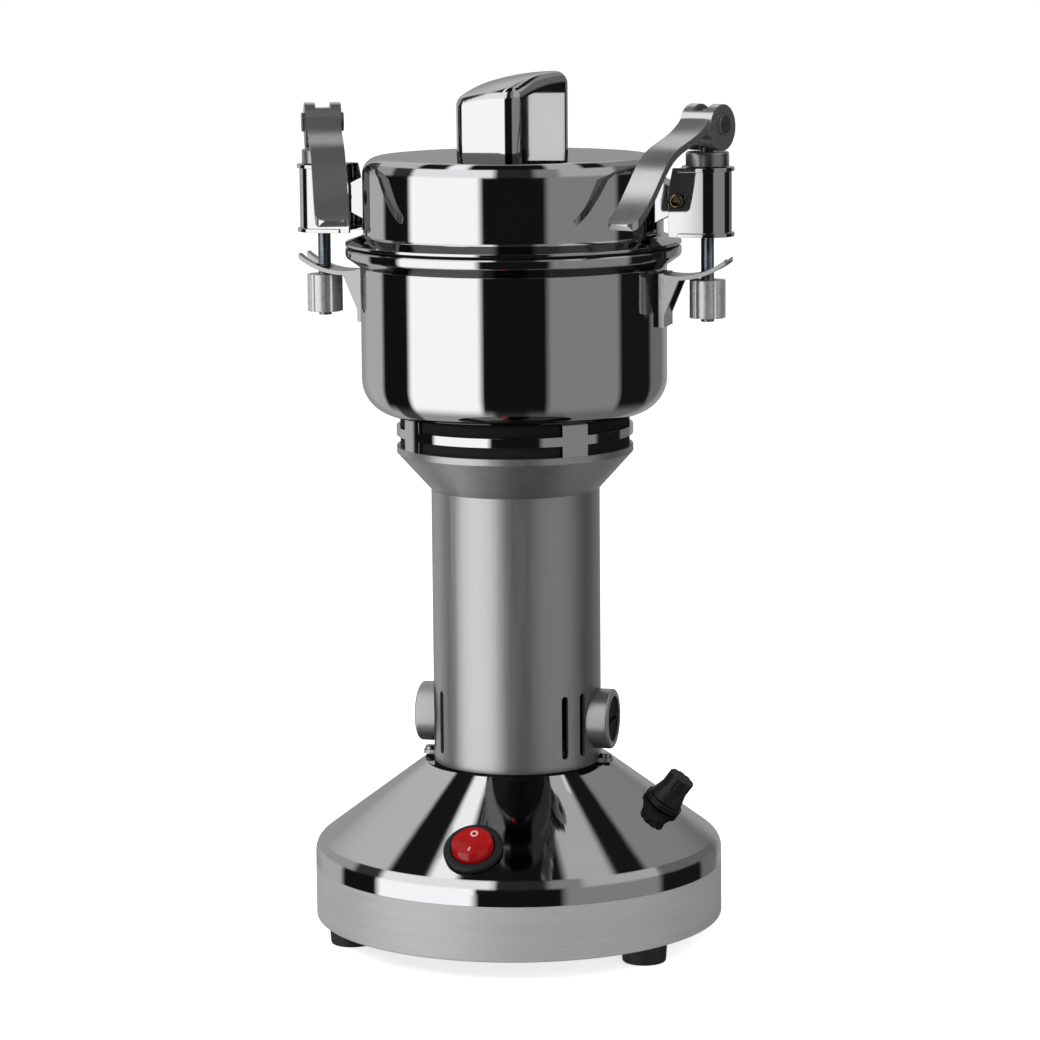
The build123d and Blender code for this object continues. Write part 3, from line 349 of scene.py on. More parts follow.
@dataclass(frozen=True)
class SurfaceNoise:
    """The coarse and the fine noise that break up every finish."""

    coarse_scale: float = 0.35
    coarse_detail: float = 3.0
    fine_scale: float = 1.0
    fine_detail: float = 5.0
    fine_roughness: float = 0.62
    fine_share: float = 0.55
    middle: float = 0.5
    contrast: float = 2.4


class FinishShop:
    """Makes each material once, all of them around one shared surface-break node group."""

    def __init__(self) -> None:
        """Builds the shared node group and an empty shelf of materials."""
        self.noise = SurfaceNoise()
        self.group = self._surface_break(self.noise)
        self.shelf: dict[str, bpy.types.Material] = {}

    @staticmethod
    def _surface_break(noise: SurfaceNoise) -> Tree:
        """Builds the node group that turns object coordinates into a mask and a height.

        Args:
            noise: Scales and shares of its two noises.

        Returns:
            The group, with inputs Vector and Contrast and outputs Mask and Height.
        """
        tree = bpy.data.node_groups.new("surface_break", "ShaderNodeTree")
        for name, way, kind in (
            ("Vector", "INPUT", "NodeSocketVector"),
            ("Contrast", "INPUT", "NodeSocketFloat"),
            ("Mask", "OUTPUT", "NodeSocketFloat"),
            ("Height", "OUTPUT", "NodeSocketFloat"),
        ):
            tree.interface.new_socket(name, in_out=way, socket_type=kind)
        source = tree.nodes.new("NodeGroupInput")
        sink = tree.nodes.new("NodeGroupOutput")
        coarse = tree.nodes.new("ShaderNodeTexNoise")
        coarse.inputs["Scale"].default_value = noise.coarse_scale
        coarse.inputs["Detail"].default_value = noise.coarse_detail
        fine = tree.nodes.new("ShaderNodeTexNoise")
        fine.inputs["Scale"].default_value = noise.fine_scale
        fine.inputs["Detail"].default_value = noise.fine_detail
        fine.inputs["Roughness"].default_value = noise.fine_roughness
        blend = tree.nodes.new("ShaderNodeMix")
        blend.data_type = "FLOAT"
        blend.inputs["Factor"].default_value = noise.fine_share
        wire(
            tree,
            (source, "Vector", coarse, "Vector"),
            (source, "Vector", fine, "Vector"),
            (coarse, "Fac", blend, "A"),
            (fine, "Fac", blend, "B"),
            (fine, "Fac", sink, "Height"),
        )
        centred = number(tree, "SUBTRACT", blend.outputs["Result"], noise.middle)
        spread = calculate(
            tree, "Math", "MULTIPLY_ADD", centred, source.outputs["Contrast"], noise.middle
        )
        spread.use_clamp = True
        wire(tree, (spread, "Value", sink, "Mask"))
        return tree

    def material(self, finish: Finish) -> bpy.types.Material:
        """Gives the material of a finish, made on first use.

        Args:
            finish: The finish to make.

        Returns:
            The node material, shared by every piece with that finish.
        """
        if finish.name in self.shelf:
            return self.shelf[finish.name]
        made = bpy.data.materials.new(finish.name)
        made.use_nodes = True
        made.diffuse_color = (*finish.color, 1.0)
        tree = made.node_tree
        shader = tree.nodes["Principled BSDF"]
        shader.inputs["Metallic"].default_value = finish.metallic
        shader.inputs["Specular IOR Level"].default_value = finish.specular
        shader.inputs["Coat Weight"].default_value = finish.coat
        mapping = tree.nodes.new("ShaderNodeMapping")
        mapping.inputs["Scale"].default_value = finish.grain.value
        tree.links.new(object_place(tree), mapping.inputs["Vector"])
        breakup = tree.nodes.new("ShaderNodeGroup")
        breakup.node_tree = self.group
        breakup.inputs["Contrast"].default_value = self.noise.contrast
        wire(tree, (mapping, "Vector", breakup, "Vector"))
        mask = breakup.outputs["Mask"]
        color = mix_colors(tree, mask, (*finish.shade, 1.0), (*finish.color, 1.0))
        color = self.painted_inside_shade(tree, finish, color)
        tree.links.new(self.painted_mirror_shade(tree, finish, color), shader.inputs["Base Color"])
        rough = remap(tree, mask, (0.0, 1.0), finish.roughness)
        tree.links.new(rough, shader.inputs["Roughness"])
        if finish.bump:
            bump = tree.nodes.new("ShaderNodeBump")
            bump.inputs["Strength"].default_value = finish.bump
            bump.inputs["Distance"].default_value = finish.bump_distance
            height = self.thread(tree, finish) or breakup.outputs["Height"]
            tree.links.new(height, bump.inputs["Height"])
            wire(tree, (bump, "Normal", shader, "Normal"))
        self.shelf[finish.name] = made
        return made

    @staticmethod
    def painted_inside_shade(tree: Tree, finish: Finish, color: Socket) -> Socket:
        """Paints shade into a finish inside a radius about Z, darkening the inside of a casting.

        Args:
            tree: The material's node tree.
            finish: The finish, with the radius that the painted shade fills.
            color: The socket with the finish's colour.

        Returns:
            The socket with the colour, darkened by painted shade where the finish asks for it.
        """
        if not finish.painted_shade_within:
            return color
        flat = calculate(tree, "VectorMath", "MULTIPLY", object_place(tree), (1.0, 1.0, 0.0))
        reach = calculate(tree, "VectorMath", "LENGTH", flat.outputs["Vector"])
        fade = (finish.painted_shade_within - INSIDE_SHADE_FADE, finish.painted_shade_within)
        # painted shade: near black inside the radius, fading to the finish's colour at its edge
        return mix_colors(tree, remap(tree, reach.outputs["Value"], fade), grey(INSIDE_SHADE), color)

    @staticmethod
    def painted_mirror_shade(tree: Tree, finish: Finish, color: Socket) -> Socket:
        """Paints shade into a finish where polished metal mirrors it, as if it were an unlit
        underside.

        Args:
            tree: The material's node tree.
            finish: The finish, with the share of its colour that a mirror shows.
            color: The socket with the finish's colour.

        Returns:
            The socket with the colour, dimmed by painted shade for glossy rays where the finish
            asks for it.
        """
        if finish.kept_under_painted_mirror_shade == 1.0:
            return color
        path = tree.nodes.new("ShaderNodeLightPath")
        # painted shade: glossy rays see the colour multiplied down to the kept share
        mirror_shade = grey(finish.kept_under_painted_mirror_shade)
        return mix_colors(tree, path.outputs["Is Glossy Ray"], color, mirror_shade, "MULTIPLY")

    @staticmethod
    def thread(tree: Tree, finish: Finish) -> Socket | None:
        """Adds upright thread rings to a finish that has a thread.

        Args:
            tree: The material's node tree.
            finish: The finish, with its thread's pitch.

        Returns:
            The socket with the thread's height, or None without a thread.
        """
        if not finish.thread:
            return None
        rings = tree.nodes.new("ShaderNodeTexWave")
        rings.bands_direction = "Z"
        rings.inputs["Scale"].default_value = WAVE_LENGTH / finish.thread
        tree.links.new(object_place(tree), rings.inputs["Vector"])
        return rings.outputs["Fac"]


def millimetres(corners: list[Corner]) -> list[Corner]:
    """Turns outline corners given in millimetres into metres."""
    return [(radius * MM, height * MM, rounding * MM) for radius, height, rounding in corners]


def rounded_outline(corners: list[Corner], steps: int = PLAIN_ROUND) -> list[Point]:
    """Rounds the corners of an open outline.

    Args:
        corners: (radius, height, rounding) points in metres, in order along the outline.
        steps: Points laid along each rounding.

    Returns:
        (radius, height) points along the finished outline.
    """
    path: list[Point] = []
    last = len(corners) - 1
    for index, (radius, height, size) in enumerate(corners):
        here = Vector((radius, height))
        if size <= 0 or index in (0, last):
            path.append((radius, height))
            continue
        before = (Vector(corners[index - 1][:2]) - here).normalized()
        after = (Vector(corners[index + 1][:2]) - here).normalized()
        half = before.angle(after) / 2
        reach = size / math.tan(half)
        centre = here + (before + after).normalized() * (size / math.sin(half))
        start = here + before * reach - centre
        turn = start.angle_signed(here + after * reach - centre)
        for step in range(steps + 1):
            spot = centre + Matrix.Rotation(-turn * step / steps, 2) @ start
            path.append((spot.x, spot.y))
    return path


class Workshop:
    """Turns outlines and CAD nodes into finished meshes that ride on the frame's bodies."""

    def __init__(self, finishes: FinishShop) -> None:
        """Keeps the finishes and builds the geometry trees.

        Args:
            finishes: Where materials come from.
        """
        self.finishes = finishes
        self.pieces: list[str] = []
        self.lathe, self.lathe_ids = self._lathe_tree()
        self.ring, self.ring_ids = self._ring_tree()

    @staticmethod
    def _sockets(tree: Tree, wanted: dict[str, str]) -> dict[str, str]:
        """Adds geometry in and out and the named inputs to a geometry tree.

        Args:
            tree: The tree to give sockets to.
            wanted: Input names and their socket types.

        Returns:
            Each input's name and its socket identifier.
        """
        add = tree.interface.new_socket
        add("Geometry", in_out="INPUT", socket_type="NodeSocketGeometry")
        ids = {}
        for name, kind in wanted.items():
            ids[name] = add(name, in_out="INPUT", socket_type=kind).identifier
        add("Geometry", in_out="OUTPUT", socket_type="NodeSocketGeometry")
        return ids

    @classmethod
    def _lathe_tree(cls) -> tuple[Tree, dict[str, str]]:
        """Builds the tree that turns an outline of edges about Z.

        Returns:
            The tree and its input identifiers.
        """
        tree = bpy.data.node_groups.new("turned_shell", "GeometryNodeTree")
        wanted = {
            "Segments": "NodeSocketInt",
            "Path Radius": "NodeSocketFloat",
            "Finish": "NodeSocketMaterial",
        }
        ids = cls._sockets(tree, wanted)
        source = tree.nodes.new("NodeGroupInput")
        sink = tree.nodes.new("NodeGroupOutput")
        outline = tree.nodes.new("GeometryNodeMeshToCurve")
        circle = tree.nodes.new("GeometryNodeCurvePrimitiveCircle")
        sweep = tree.nodes.new("GeometryNodeCurveToMesh")
        weld = tree.nodes.new("GeometryNodeMergeByDistance")
        weld.inputs["Distance"].default_value = WELD
        realize = tree.nodes.new("GeometryNodeRealizeInstances")
        dress = tree.nodes.new("GeometryNodeSetMaterial")
        wire(
            tree,
            (source, "Geometry", outline, "Mesh"),
            (source, "Segments", circle, "Resolution"),
            (source, "Path Radius", circle, "Radius"),
            (circle, "Curve", sweep, "Curve"),
            (outline, "Curve", sweep, "Profile Curve"),
            (sweep, "Mesh", weld, "Geometry"),
            (weld, "Geometry", realize, "Geometry"),
            (realize, "Geometry", dress, "Geometry"),
            (source, "Finish", dress, "Material"),
            (dress, "Geometry", sink, "Geometry"),
        )
        return tree, ids

    @classmethod
    def _ring_tree(cls) -> tuple[Tree, dict[str, str]]:
        """Builds the tree that repeats a mesh on a circle about Z, each copy turned to face out.

        Returns:
            The tree and its input identifiers.
        """
        tree = bpy.data.node_groups.new("ring_of_copies", "GeometryNodeTree")
        wanted = {
            "Count": "NodeSocketInt",
            "Circle Radius": "NodeSocketFloat",
            "First Angle": "NodeSocketFloat",
            "Finish": "NodeSocketMaterial",
        }
        ids = cls._sockets(tree, wanted)
        source = tree.nodes.new("NodeGroupInput")
        sink = tree.nodes.new("NodeGroupOutput")
        line = tree.nodes.new("GeometryNodeMeshLine")
        line.inputs["Offset"].default_value = (0.0, 0.0, 0.0)
        index = tree.nodes.new("GeometryNodeInputIndex")
        step = calculate(tree, "Math", "DIVIDE", math.tau)
        angle = calculate(tree, "Math", "MULTIPLY_ADD")
        turn = tree.nodes.new("ShaderNodeCombineXYZ")
        push = tree.nodes.new("GeometryNodeTransform")
        shift = tree.nodes.new("ShaderNodeCombineXYZ")
        copies = tree.nodes.new("GeometryNodeInstanceOnPoints")
        realize = tree.nodes.new("GeometryNodeRealizeInstances")
        dress = tree.nodes.new("GeometryNodeSetMaterial")
        wire(
            tree,
            (source, "Count", line, "Count"),
            (source, "Count", step, 1),
            (index, "Index", angle, 0),
            (step, "Value", angle, 1),
            (source, "First Angle", angle, 2),
            (angle, "Value", turn, "Z"),
            (source, "Circle Radius", shift, "X"),
            (source, "Geometry", push, "Geometry"),
            (shift, "Vector", push, "Translation"),
            (line, "Mesh", copies, "Points"),
            (push, "Geometry", copies, "Instance"),
            (turn, "Vector", copies, "Rotation"),
            (copies, "Instances", realize, "Geometry"),
            (realize, "Geometry", dress, "Geometry"),
            (source, "Finish", dress, "Material"),
            (dress, "Geometry", sink, "Geometry"),
        )
        return tree, ids

    @staticmethod
    def smooth(mesh: bpy.types.Mesh, angle: float = SHARP_ANGLE) -> None:
        """Shades a mesh smooth, with sharp edges past an angle in degrees."""
        mesh.polygons.foreach_set("use_smooth", [True] * len(mesh.polygons))
        mesh.set_sharp_from_angle(angle=math.radians(angle))

    @staticmethod
    def outward(mesh: bpy.types.Mesh) -> None:
        """Merges doubled points and turns every face of a closed mesh outwards.

        Args:
            mesh: The mesh to change.
        """
        shape = bmesh.new()
        shape.from_mesh(mesh)
        bmesh.ops.remove_doubles(shape, verts=shape.verts, dist=WELD / 10)
        bmesh.ops.recalc_face_normals(shape, faces=shape.faces)
        shape.to_mesh(mesh)
        shape.free()

    @staticmethod
    def linked(mesh: bpy.types.Mesh, name: str) -> bpy.types.Object:
        """Puts a mesh into the scene.

        Args:
            mesh: The mesh.
            name: Name of the object that holds it.

        Returns:
            The object, at the origin.
        """
        made = bpy.data.objects.new(name, mesh)
        bpy.context.scene.collection.objects.link(made)
        return made

    @staticmethod
    def bake(made: bpy.types.Object) -> bpy.types.Mesh:
        """Evaluates an object's modifiers to a plain mesh and drops the object.

        Args:
            made: An object in the scene with its modifiers set.

        Returns:
            The plain mesh.
        """
        graph = bpy.context.evaluated_depsgraph_get()
        mesh = bpy.data.meshes.new_from_object(made.evaluated_get(graph))
        bpy.data.objects.remove(made)
        return mesh

    def turned(self, outline: list[Point], finish: Finish, segments: int) -> bpy.types.Mesh:
        """Turns a closed outline about Z.

        Args:
            outline: (radius, height) points in metres; the last joins the first unless both lie
                on the axis.
            finish: Finish of the piece.
            segments: Steps round the axis.

        Returns:
            A closed mesh with outward faces.
        """
        edges = [(i, i + 1) for i in range(len(outline) - 1)]
        if max(outline[0][0], outline[-1][0]) > WELD:
            edges.append((len(outline) - 1, 0))
        mesh = bpy.data.meshes.new("outline")
        points = [(radius - PATH_RADIUS, -height, 0.0) for radius, height in outline]
        mesh.from_pydata(points, edges, [])
        made = self.linked(mesh, "outline")
        modifier = made.modifiers.new("turned", "NODES")
        modifier.node_group = self.lathe
        modifier[self.lathe_ids["Segments"]] = segments
        modifier[self.lathe_ids["Path Radius"]] = PATH_RADIUS
        modifier[self.lathe_ids["Finish"]] = self.finishes.material(finish)
        result = self.bake(made)
        self.outward(result)
        self.smooth(result)
        return result

    def ring_of(
        self, mesh: bpy.types.Mesh, finish: Finish, count: int, radius: float, first: float
    ) -> bpy.types.Mesh:
        """Repeats a mesh on a circle about Z.

        Args:
            mesh: One copy, made at the origin and facing +X.
            finish: Finish of every copy.
            count: Number of copies.
            radius: Circle radius in metres.
            first: Angle of the first copy in degrees.

        Returns:
            One mesh that holds every copy.
        """
        made = self.linked(mesh, "copies")
        modifier = made.modifiers.new("ring", "NODES")
        modifier.node_group = self.ring
        modifier[self.ring_ids["Count"]] = count
        modifier[self.ring_ids["Circle Radius"]] = radius
        modifier[self.ring_ids["First Angle"]] = math.radians(first)
        modifier[self.ring_ids["Finish"]] = self.finishes.material(finish)
        result = self.bake(made)
        self.smooth(result)
        return result

    def place(
        self,
        mesh: bpy.types.Mesh,
        name: str,
        finish: Finish,
        body: str,
        nodes: tuple[str, ...] = (),
    ) -> None:
        """Finishes a mesh as a piece of the object.

        Args:
            mesh: The piece's mesh, in place in the row frame.
            name: Piece name.
            finish: Finish to wear.
            body: CAD body that it rides on.
            nodes: CAD nodes that it stands for.
        """
        if not mesh.materials:
            mesh.materials.append(self.finishes.material(finish))
        made = self.linked(mesh, name)
        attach(made, body)
        if nodes:
            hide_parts(*nodes)
        self.pieces.append(name)
        LOG.info("%s: %d faces on %s", name, len(mesh.polygons), body)

    def from_cad(
        self, node: str, finish: Finish, body: str, edge: Edge, angle: float = SHARP_ANGLE
    ) -> None:
        """Makes a smooth, edge-rounded copy of a CAD node that stands for it.

        Args:
            node: CAD node to copy.
            finish: Finish to wear.
            body: CAD body that the node belongs to.
            edge: Rounding of its sharp edges.
            angle: Angle in degrees past which an edge is sharp.
        """
        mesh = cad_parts[node].data.copy()
        mesh.materials.clear()
        shape = bmesh.new()
        shape.from_mesh(mesh)
        bmesh.ops.remove_doubles(shape, verts=shape.verts, dist=WELD)
        bmesh.ops.dissolve_limit(
            shape,
            angle_limit=math.radians(FLAT_ANGLE),
            use_dissolve_boundaries=False,
            verts=shape.verts,
            edges=shape.edges,
        )
        shape.to_mesh(mesh)
        shape.free()
        if "custom_normal" in mesh.attributes:
            mesh.attributes.remove(mesh.attributes["custom_normal"])
        self.smooth(mesh, angle)
        made = self.linked(mesh, node)
        rounding = made.modifiers.new("edge", "BEVEL")
        rounding.width = edge.value * MM
        rounding.segments = EDGE_STEPS
        rounding.limit_method = "ANGLE"
        rounding.angle_limit = math.radians(angle)
        rounding.use_clamp_overlap = True
        rounding.harden_normals = True
        self.place(self.bake(made), f"{node}_skin", finish, body, (node,))

    def dress(self, node: str, finish: Finish) -> None:
        """Gives a CAD node that stays in place its finish.

        Args:
            node: The CAD node.
            finish: Finish to wear.
        """
        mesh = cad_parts[node].data
        mesh.materials.clear()
        mesh.materials.append(self.finishes.material(finish))


@dataclass(frozen=True)
class Lamp:
    """A soft area lamp, aimed at the stage's target; angles in degrees, sizes in metres."""

    name: str
    azimuth: float
    elevation: float
    power: float
    size: float = 0.9
    distance: float = 1.3


@dataclass
class Stage:
    """Camera, world, lamps, floor and card of the studio.

    Bands give the angle in degrees from -90 to 90 where each panel begins, and its level. A zone
    gives the elevations between which its bands take over from those below.
    """

    target: Corner = (0.0, 0.0, 0.16435)
    distance: float = 1.5025
    azimuth: float = 15.0
    elevation: float = 8.9
    roll: float = -0.5
    lens: float = 133.3
    sensor: float = 36.0
    shift_x: float = 0.004
    under_bands: Bands = (
        (-90.0, 0.36), (-53.0, 0.05), (-42.0, 0.29), (-8.0, 0.03), (5.0, 0.09), (20.0, 0.13),
    )
    side_zone: Point = (-42.0, -22.0)
    side_bands: Bands = (
        (-90.0, 0.40), (-58.5, 0.006), (-43.0, 1.0), (-12.5, 0.006), (12.5, 0.21),
        (43.0, 0.008), (62.0, 0.14),
    )
    edge_zone: Point = (12.0, 22.0)
    edge_bands: Bands = (
        (-90.0, 0.30), (-53.0, 0.03), (-42.0, 0.80), (-7.0, 0.02), (8.0, 0.20),
        (18.0, 0.38), (43.0, 0.12),
    )
    slope_zone: Point = (43.0, 49.0)
    slope_bands: Bands = (
        (-90.0, 0.46), (-41.0, 0.008), (-27.0, 0.90), (-18.0, 0.006), (13.5, 0.38),
        (28.5, 0.008), (39.5, 0.21),
    )
    band_softness: float = 0.007
    top_zone: Point = (66.0, 80.0)
    top_level: float = 0.50
    rear_fade: Point = (-0.80, -0.95)
    rear_level: float = 0.30
    second_level: float = 0.12
    ambient: float = 0.50
    lights: tuple[Lamp, ...] = (
        Lamp("key", azimuth=-40.0, elevation=40.0, power=14.0),
        Lamp("fill", azimuth=60.0, elevation=25.0, power=6.0),
    )
    floor_size: float = 12.0
    floor_color: float = 0.82
    floor_roughness: float = 0.9
    floor_glow: float = 0.72
    card_place: Corner = (0.1129, 0.0618, 0.3125)
    card_azimuth: float = 303.0
    card_size: Point = (0.015, 0.025)
    card_level: float = 0.60

    def build(self) -> None:
        """Builds the camera, the world, the lamps, the floor and the card."""
        bpy.context.scene.view_settings.view_transform = "Standard"
        self.camera()
        self.world()
        self.lamps()
        self.floor()
        self.card()

    @staticmethod
    def direction(azimuth: float, elevation: float) -> Vector:
        """Works out a direction from the object.

        Args:
            azimuth: Degrees round from the front of the frame, -Y, towards +X.
            elevation: Degrees above level.

        Returns:
            The unit vector.
        """
        turn, lift = math.radians(azimuth), math.radians(elevation)
        flat = math.cos(lift)
        return Vector((math.sin(turn) * flat, -math.cos(turn) * flat, math.sin(lift)))

    def aimed(self, azimuth: float, elevation: float, distance: float) -> Matrix:
        """The transform of something that stands at an angle and looks at the target.

        Args:
            azimuth: Azimuth that it stands at, in degrees.
            elevation: Elevation that it stands at, in degrees.
            distance: Distance from the target in metres.

        Returns:
            The transform.
        """
        toward = self.direction(azimuth, elevation)
        aim = (-toward).to_track_quat("-Z", "Y").to_matrix().to_4x4()
        return Matrix.Translation(Vector(self.target) + toward * distance) @ aim

    def camera(self) -> None:
        """Adds the camera at the photograph's viewing angle."""
        lens = bpy.data.cameras.new("photo_camera")
        lens.lens = self.lens
        lens.sensor_width = self.sensor
        lens.shift_x = self.shift_x
        made = bpy.data.objects.new("photo_camera", lens)
        lean = Matrix.Rotation(math.radians(self.roll), 4, "Z")
        made.matrix_world = self.aimed(self.azimuth, self.elevation, self.distance) @ lean
        bpy.context.scene.collection.objects.link(made)
        bpy.context.scene.camera = made

    def world(self) -> None:
        """Builds the world: white behind, even light on matt surfaces, panels in gloss.

        Metal that is seen in other metal shows the dimmer room behind the panels.
        """
        made = bpy.data.worlds.new("studio")
        bpy.context.scene.world = made
        made.use_nodes = True
        tree = made.node_tree
        tree.nodes.clear()
        where = tree.nodes.new("ShaderNodeTexCoord")
        path = tree.nodes.new("ShaderNodeLightPath")
        level = self.studio_level(tree, where.outputs["Generated"])
        dimmed = calculate(tree, "VectorMath", "SCALE", level)
        again = remap(tree, path.outputs["Glossy Depth"], (1.0, 2.0), (1.0, self.second_level))
        tree.links.new(again, dimmed.inputs["Scale"])
        glossy, direct = path.outputs["Is Glossy Ray"], path.outputs["Is Camera Ray"]
        lit = mix_colors(tree, glossy, grey(self.ambient), dimmed.outputs["Vector"])
        glow = tree.nodes.new("ShaderNodeBackground")
        tree.links.new(mix_colors(tree, direct, lit, grey(WHITE)), glow.inputs["Color"])
        out = tree.nodes.new("ShaderNodeOutputWorld")
        wire(tree, (glow, "Background", out, "Surface"))

    def studio_level(self, tree: Tree, ray: Socket) -> Socket:
        """Lays upright panels and dark flags round the object, as polished metal sees them.

        The panels are placed by the direction halfway between a ray and the stage's front, so that
        each one stands as an upright band on an upright wall and keeps its place on sloping and
        rounded ones. Rays to the rear, where that direction is undefined, meet an even level.

        Args:
            tree: The world's node tree.
            ray: The socket with the ray's direction.

        Returns:
            The socket with the light level.
        """
        front = self.direction(self.azimuth, self.elevation)
        ahead = self.direction(self.azimuth, 0.0)
        across = Vector((-ahead.y, ahead.x, 0.0))
        half = calculate(tree, "VectorMath", "ADD", ray, front).outputs["Vector"]
        sideways, forward, upward = (
            calculate(tree, "VectorMath", "DOT_PRODUCT", half, axis).outputs["Value"]
            for axis in (across, ahead, Vector((0.0, 0.0, 1.0)))
        )
        turn = number(tree, "ARCTAN2", sideways, forward)
        spot = number(tree, "MULTIPLY_ADD", turn, 1.0 / math.pi, 0.5)
        square = number(tree, "POWER", forward, 2.0)
        level_square = number(tree, "MULTIPLY_ADD", sideways, sideways, square)
        lift = number(tree, "ARCTAN2", upward, number(tree, "SQRT", level_square))
        level = self.ramp(tree, self.under_bands, spot)
        for (start, end), color in (
            (self.side_zone, self.ramp(tree, self.side_bands, spot)),
            (self.edge_zone, self.ramp(tree, self.edge_bands, spot)),
            (self.slope_zone, self.ramp(tree, self.slope_bands, spot)),
            (self.top_zone, grey(self.top_level)),
        ):
            share = remap(tree, lift, (math.radians(start), math.radians(end)), ease=True)
            level = mix_colors(tree, share, level, color)
        facing = calculate(tree, "VectorMath", "DOT_PRODUCT", ray, front).outputs["Value"]
        behind = remap(tree, facing, self.rear_fade, ease=True)
        return mix_colors(tree, behind, level, grey(self.rear_level))

    def ramp(self, tree: Tree, bands: Bands, spot: Socket) -> Socket:
        """Adds a colour ramp of levels with narrow soft edges.

        Args:
            tree: The world's node tree.
            bands: The panels' starts and levels.
            spot: The socket with the place along the ramp.

        Returns:
            The socket with the level.
        """
        node = tree.nodes.new("ShaderNodeValToRGB")
        stops = node.color_ramp.elements
        stops[0].color = grey(bands[0][1])
        stops[1].color = grey(bands[-1][1])
        for (_, before), (start, after) in zip(bands, bands[1:]):
            middle = (start + 90.0) / 180.0
            stops.new(middle - self.band_softness).color = grey(before)
            stops.new(middle + self.band_softness).color = grey(after)
        tree.links.new(spot, node.inputs["Fac"])
        return node.outputs["Color"]

    def lamps(self) -> None:
        """Adds the lamps, which only light matt surfaces."""
        for lamp in self.lights:
            light = bpy.data.lights.new(lamp.name, "AREA")
            light.energy = lamp.power
            light.size = lamp.size
            made = bpy.data.objects.new(lamp.name, light)
            made.matrix_world = self.aimed(lamp.azimuth, lamp.elevation, lamp.distance)
            made.visible_glossy = False
            bpy.context.scene.collection.objects.link(made)

    @staticmethod
    def sheet(name: str, wide: float, tall: float) -> tuple[bpy.types.Object, Tree]:
        """Makes a rectangle in the XY plane with a node material of its own.

        Args:
            name: Name of the sheet.
            wide: Its size along X in metres.
            tall: Its size along Y in metres.

        Returns:
            The sheet, centred on the origin, and its material's tree.
        """
        x, y = wide / 2, tall / 2
        mesh = bpy.data.meshes.new(name)
        corners = [(-x, -y, 0.0), (x, -y, 0.0), (x, y, 0.0), (-x, y, 0.0)]
        mesh.from_pydata(corners, [], [(0, 1, 2, 3)])
        paint = bpy.data.materials.new(f"{name}_white")
        paint.use_nodes = True
        mesh.materials.append(paint)
        made = bpy.data.objects.new(name, mesh)
        bpy.context.scene.collection.objects.link(made)
        return made, paint.node_tree

    def floor(self) -> None:
        """Adds the pale floor."""
        made, tree = self.sheet("floor", self.floor_size, self.floor_size)
        shader = tree.nodes["Principled BSDF"]
        shader.inputs["Roughness"].default_value = self.floor_roughness
        shader.inputs["Base Color"].default_value = grey(self.floor_color)
        shader.inputs["Emission Color"].default_value = grey(self.floor_glow)
        path = tree.nodes.new("ShaderNodeLightPath")
        wire(tree, (path, "Is Camera Ray", shader, "Emission Strength"))
        made.visible_glossy = False

    def card(self) -> None:
        """Adds a small white card behind the right clamp that only the handle's side mirrors."""
        made, tree = self.sheet("card", *self.card_size)
        shader = tree.nodes["Principled BSDF"]
        shader.inputs["Base Color"].default_value = grey(0.0)
        shader.inputs["Specular IOR Level"].default_value = 0.0
        shader.inputs["Emission Color"].default_value = grey(WHITE)
        shader.inputs["Emission Strength"].default_value = self.card_level
        aim = self.direction(self.card_azimuth, 0.0).to_track_quat("Z", "Y").to_matrix().to_4x4()
        made.matrix_world = Matrix.Translation(self.card_place) @ aim
        made.visible_camera = made.visible_diffuse = made.visible_shadow = False


@dataclass
class ConePlace:
    """A seat on the base cone: local Z along the cone's normal, local Y up the slope.

    The angle is in degrees and every size in millimetres.
    """

    angle: float
    radius: float
    base_radius: float = 80.0
    corner_height: float = 37.4
    rise: float = 32.6
    top_radius: float = 36.5

    def matrix(self) -> Matrix:
        """Works out the seat's transform.

        Returns:
            The transform, in metres.
        """
        slope = math.atan2(self.rise, self.base_radius - self.top_radius)
        turn = math.radians(self.angle)
        outward = Vector((math.cos(turn), math.sin(turn), 0.0))
        normal = outward * math.sin(slope) + Vector((0.0, 0.0, math.cos(slope)))
        along = Vector((-math.sin(turn), math.cos(turn), 0.0))
        height = self.corner_height + (self.base_radius - self.radius) * math.tan(slope)
        place = Matrix((along, normal.cross(along), normal)).transposed().to_4x4()
        place.translation = (outward * self.radius + Vector((0.0, 0.0, height))) * MM
        return place


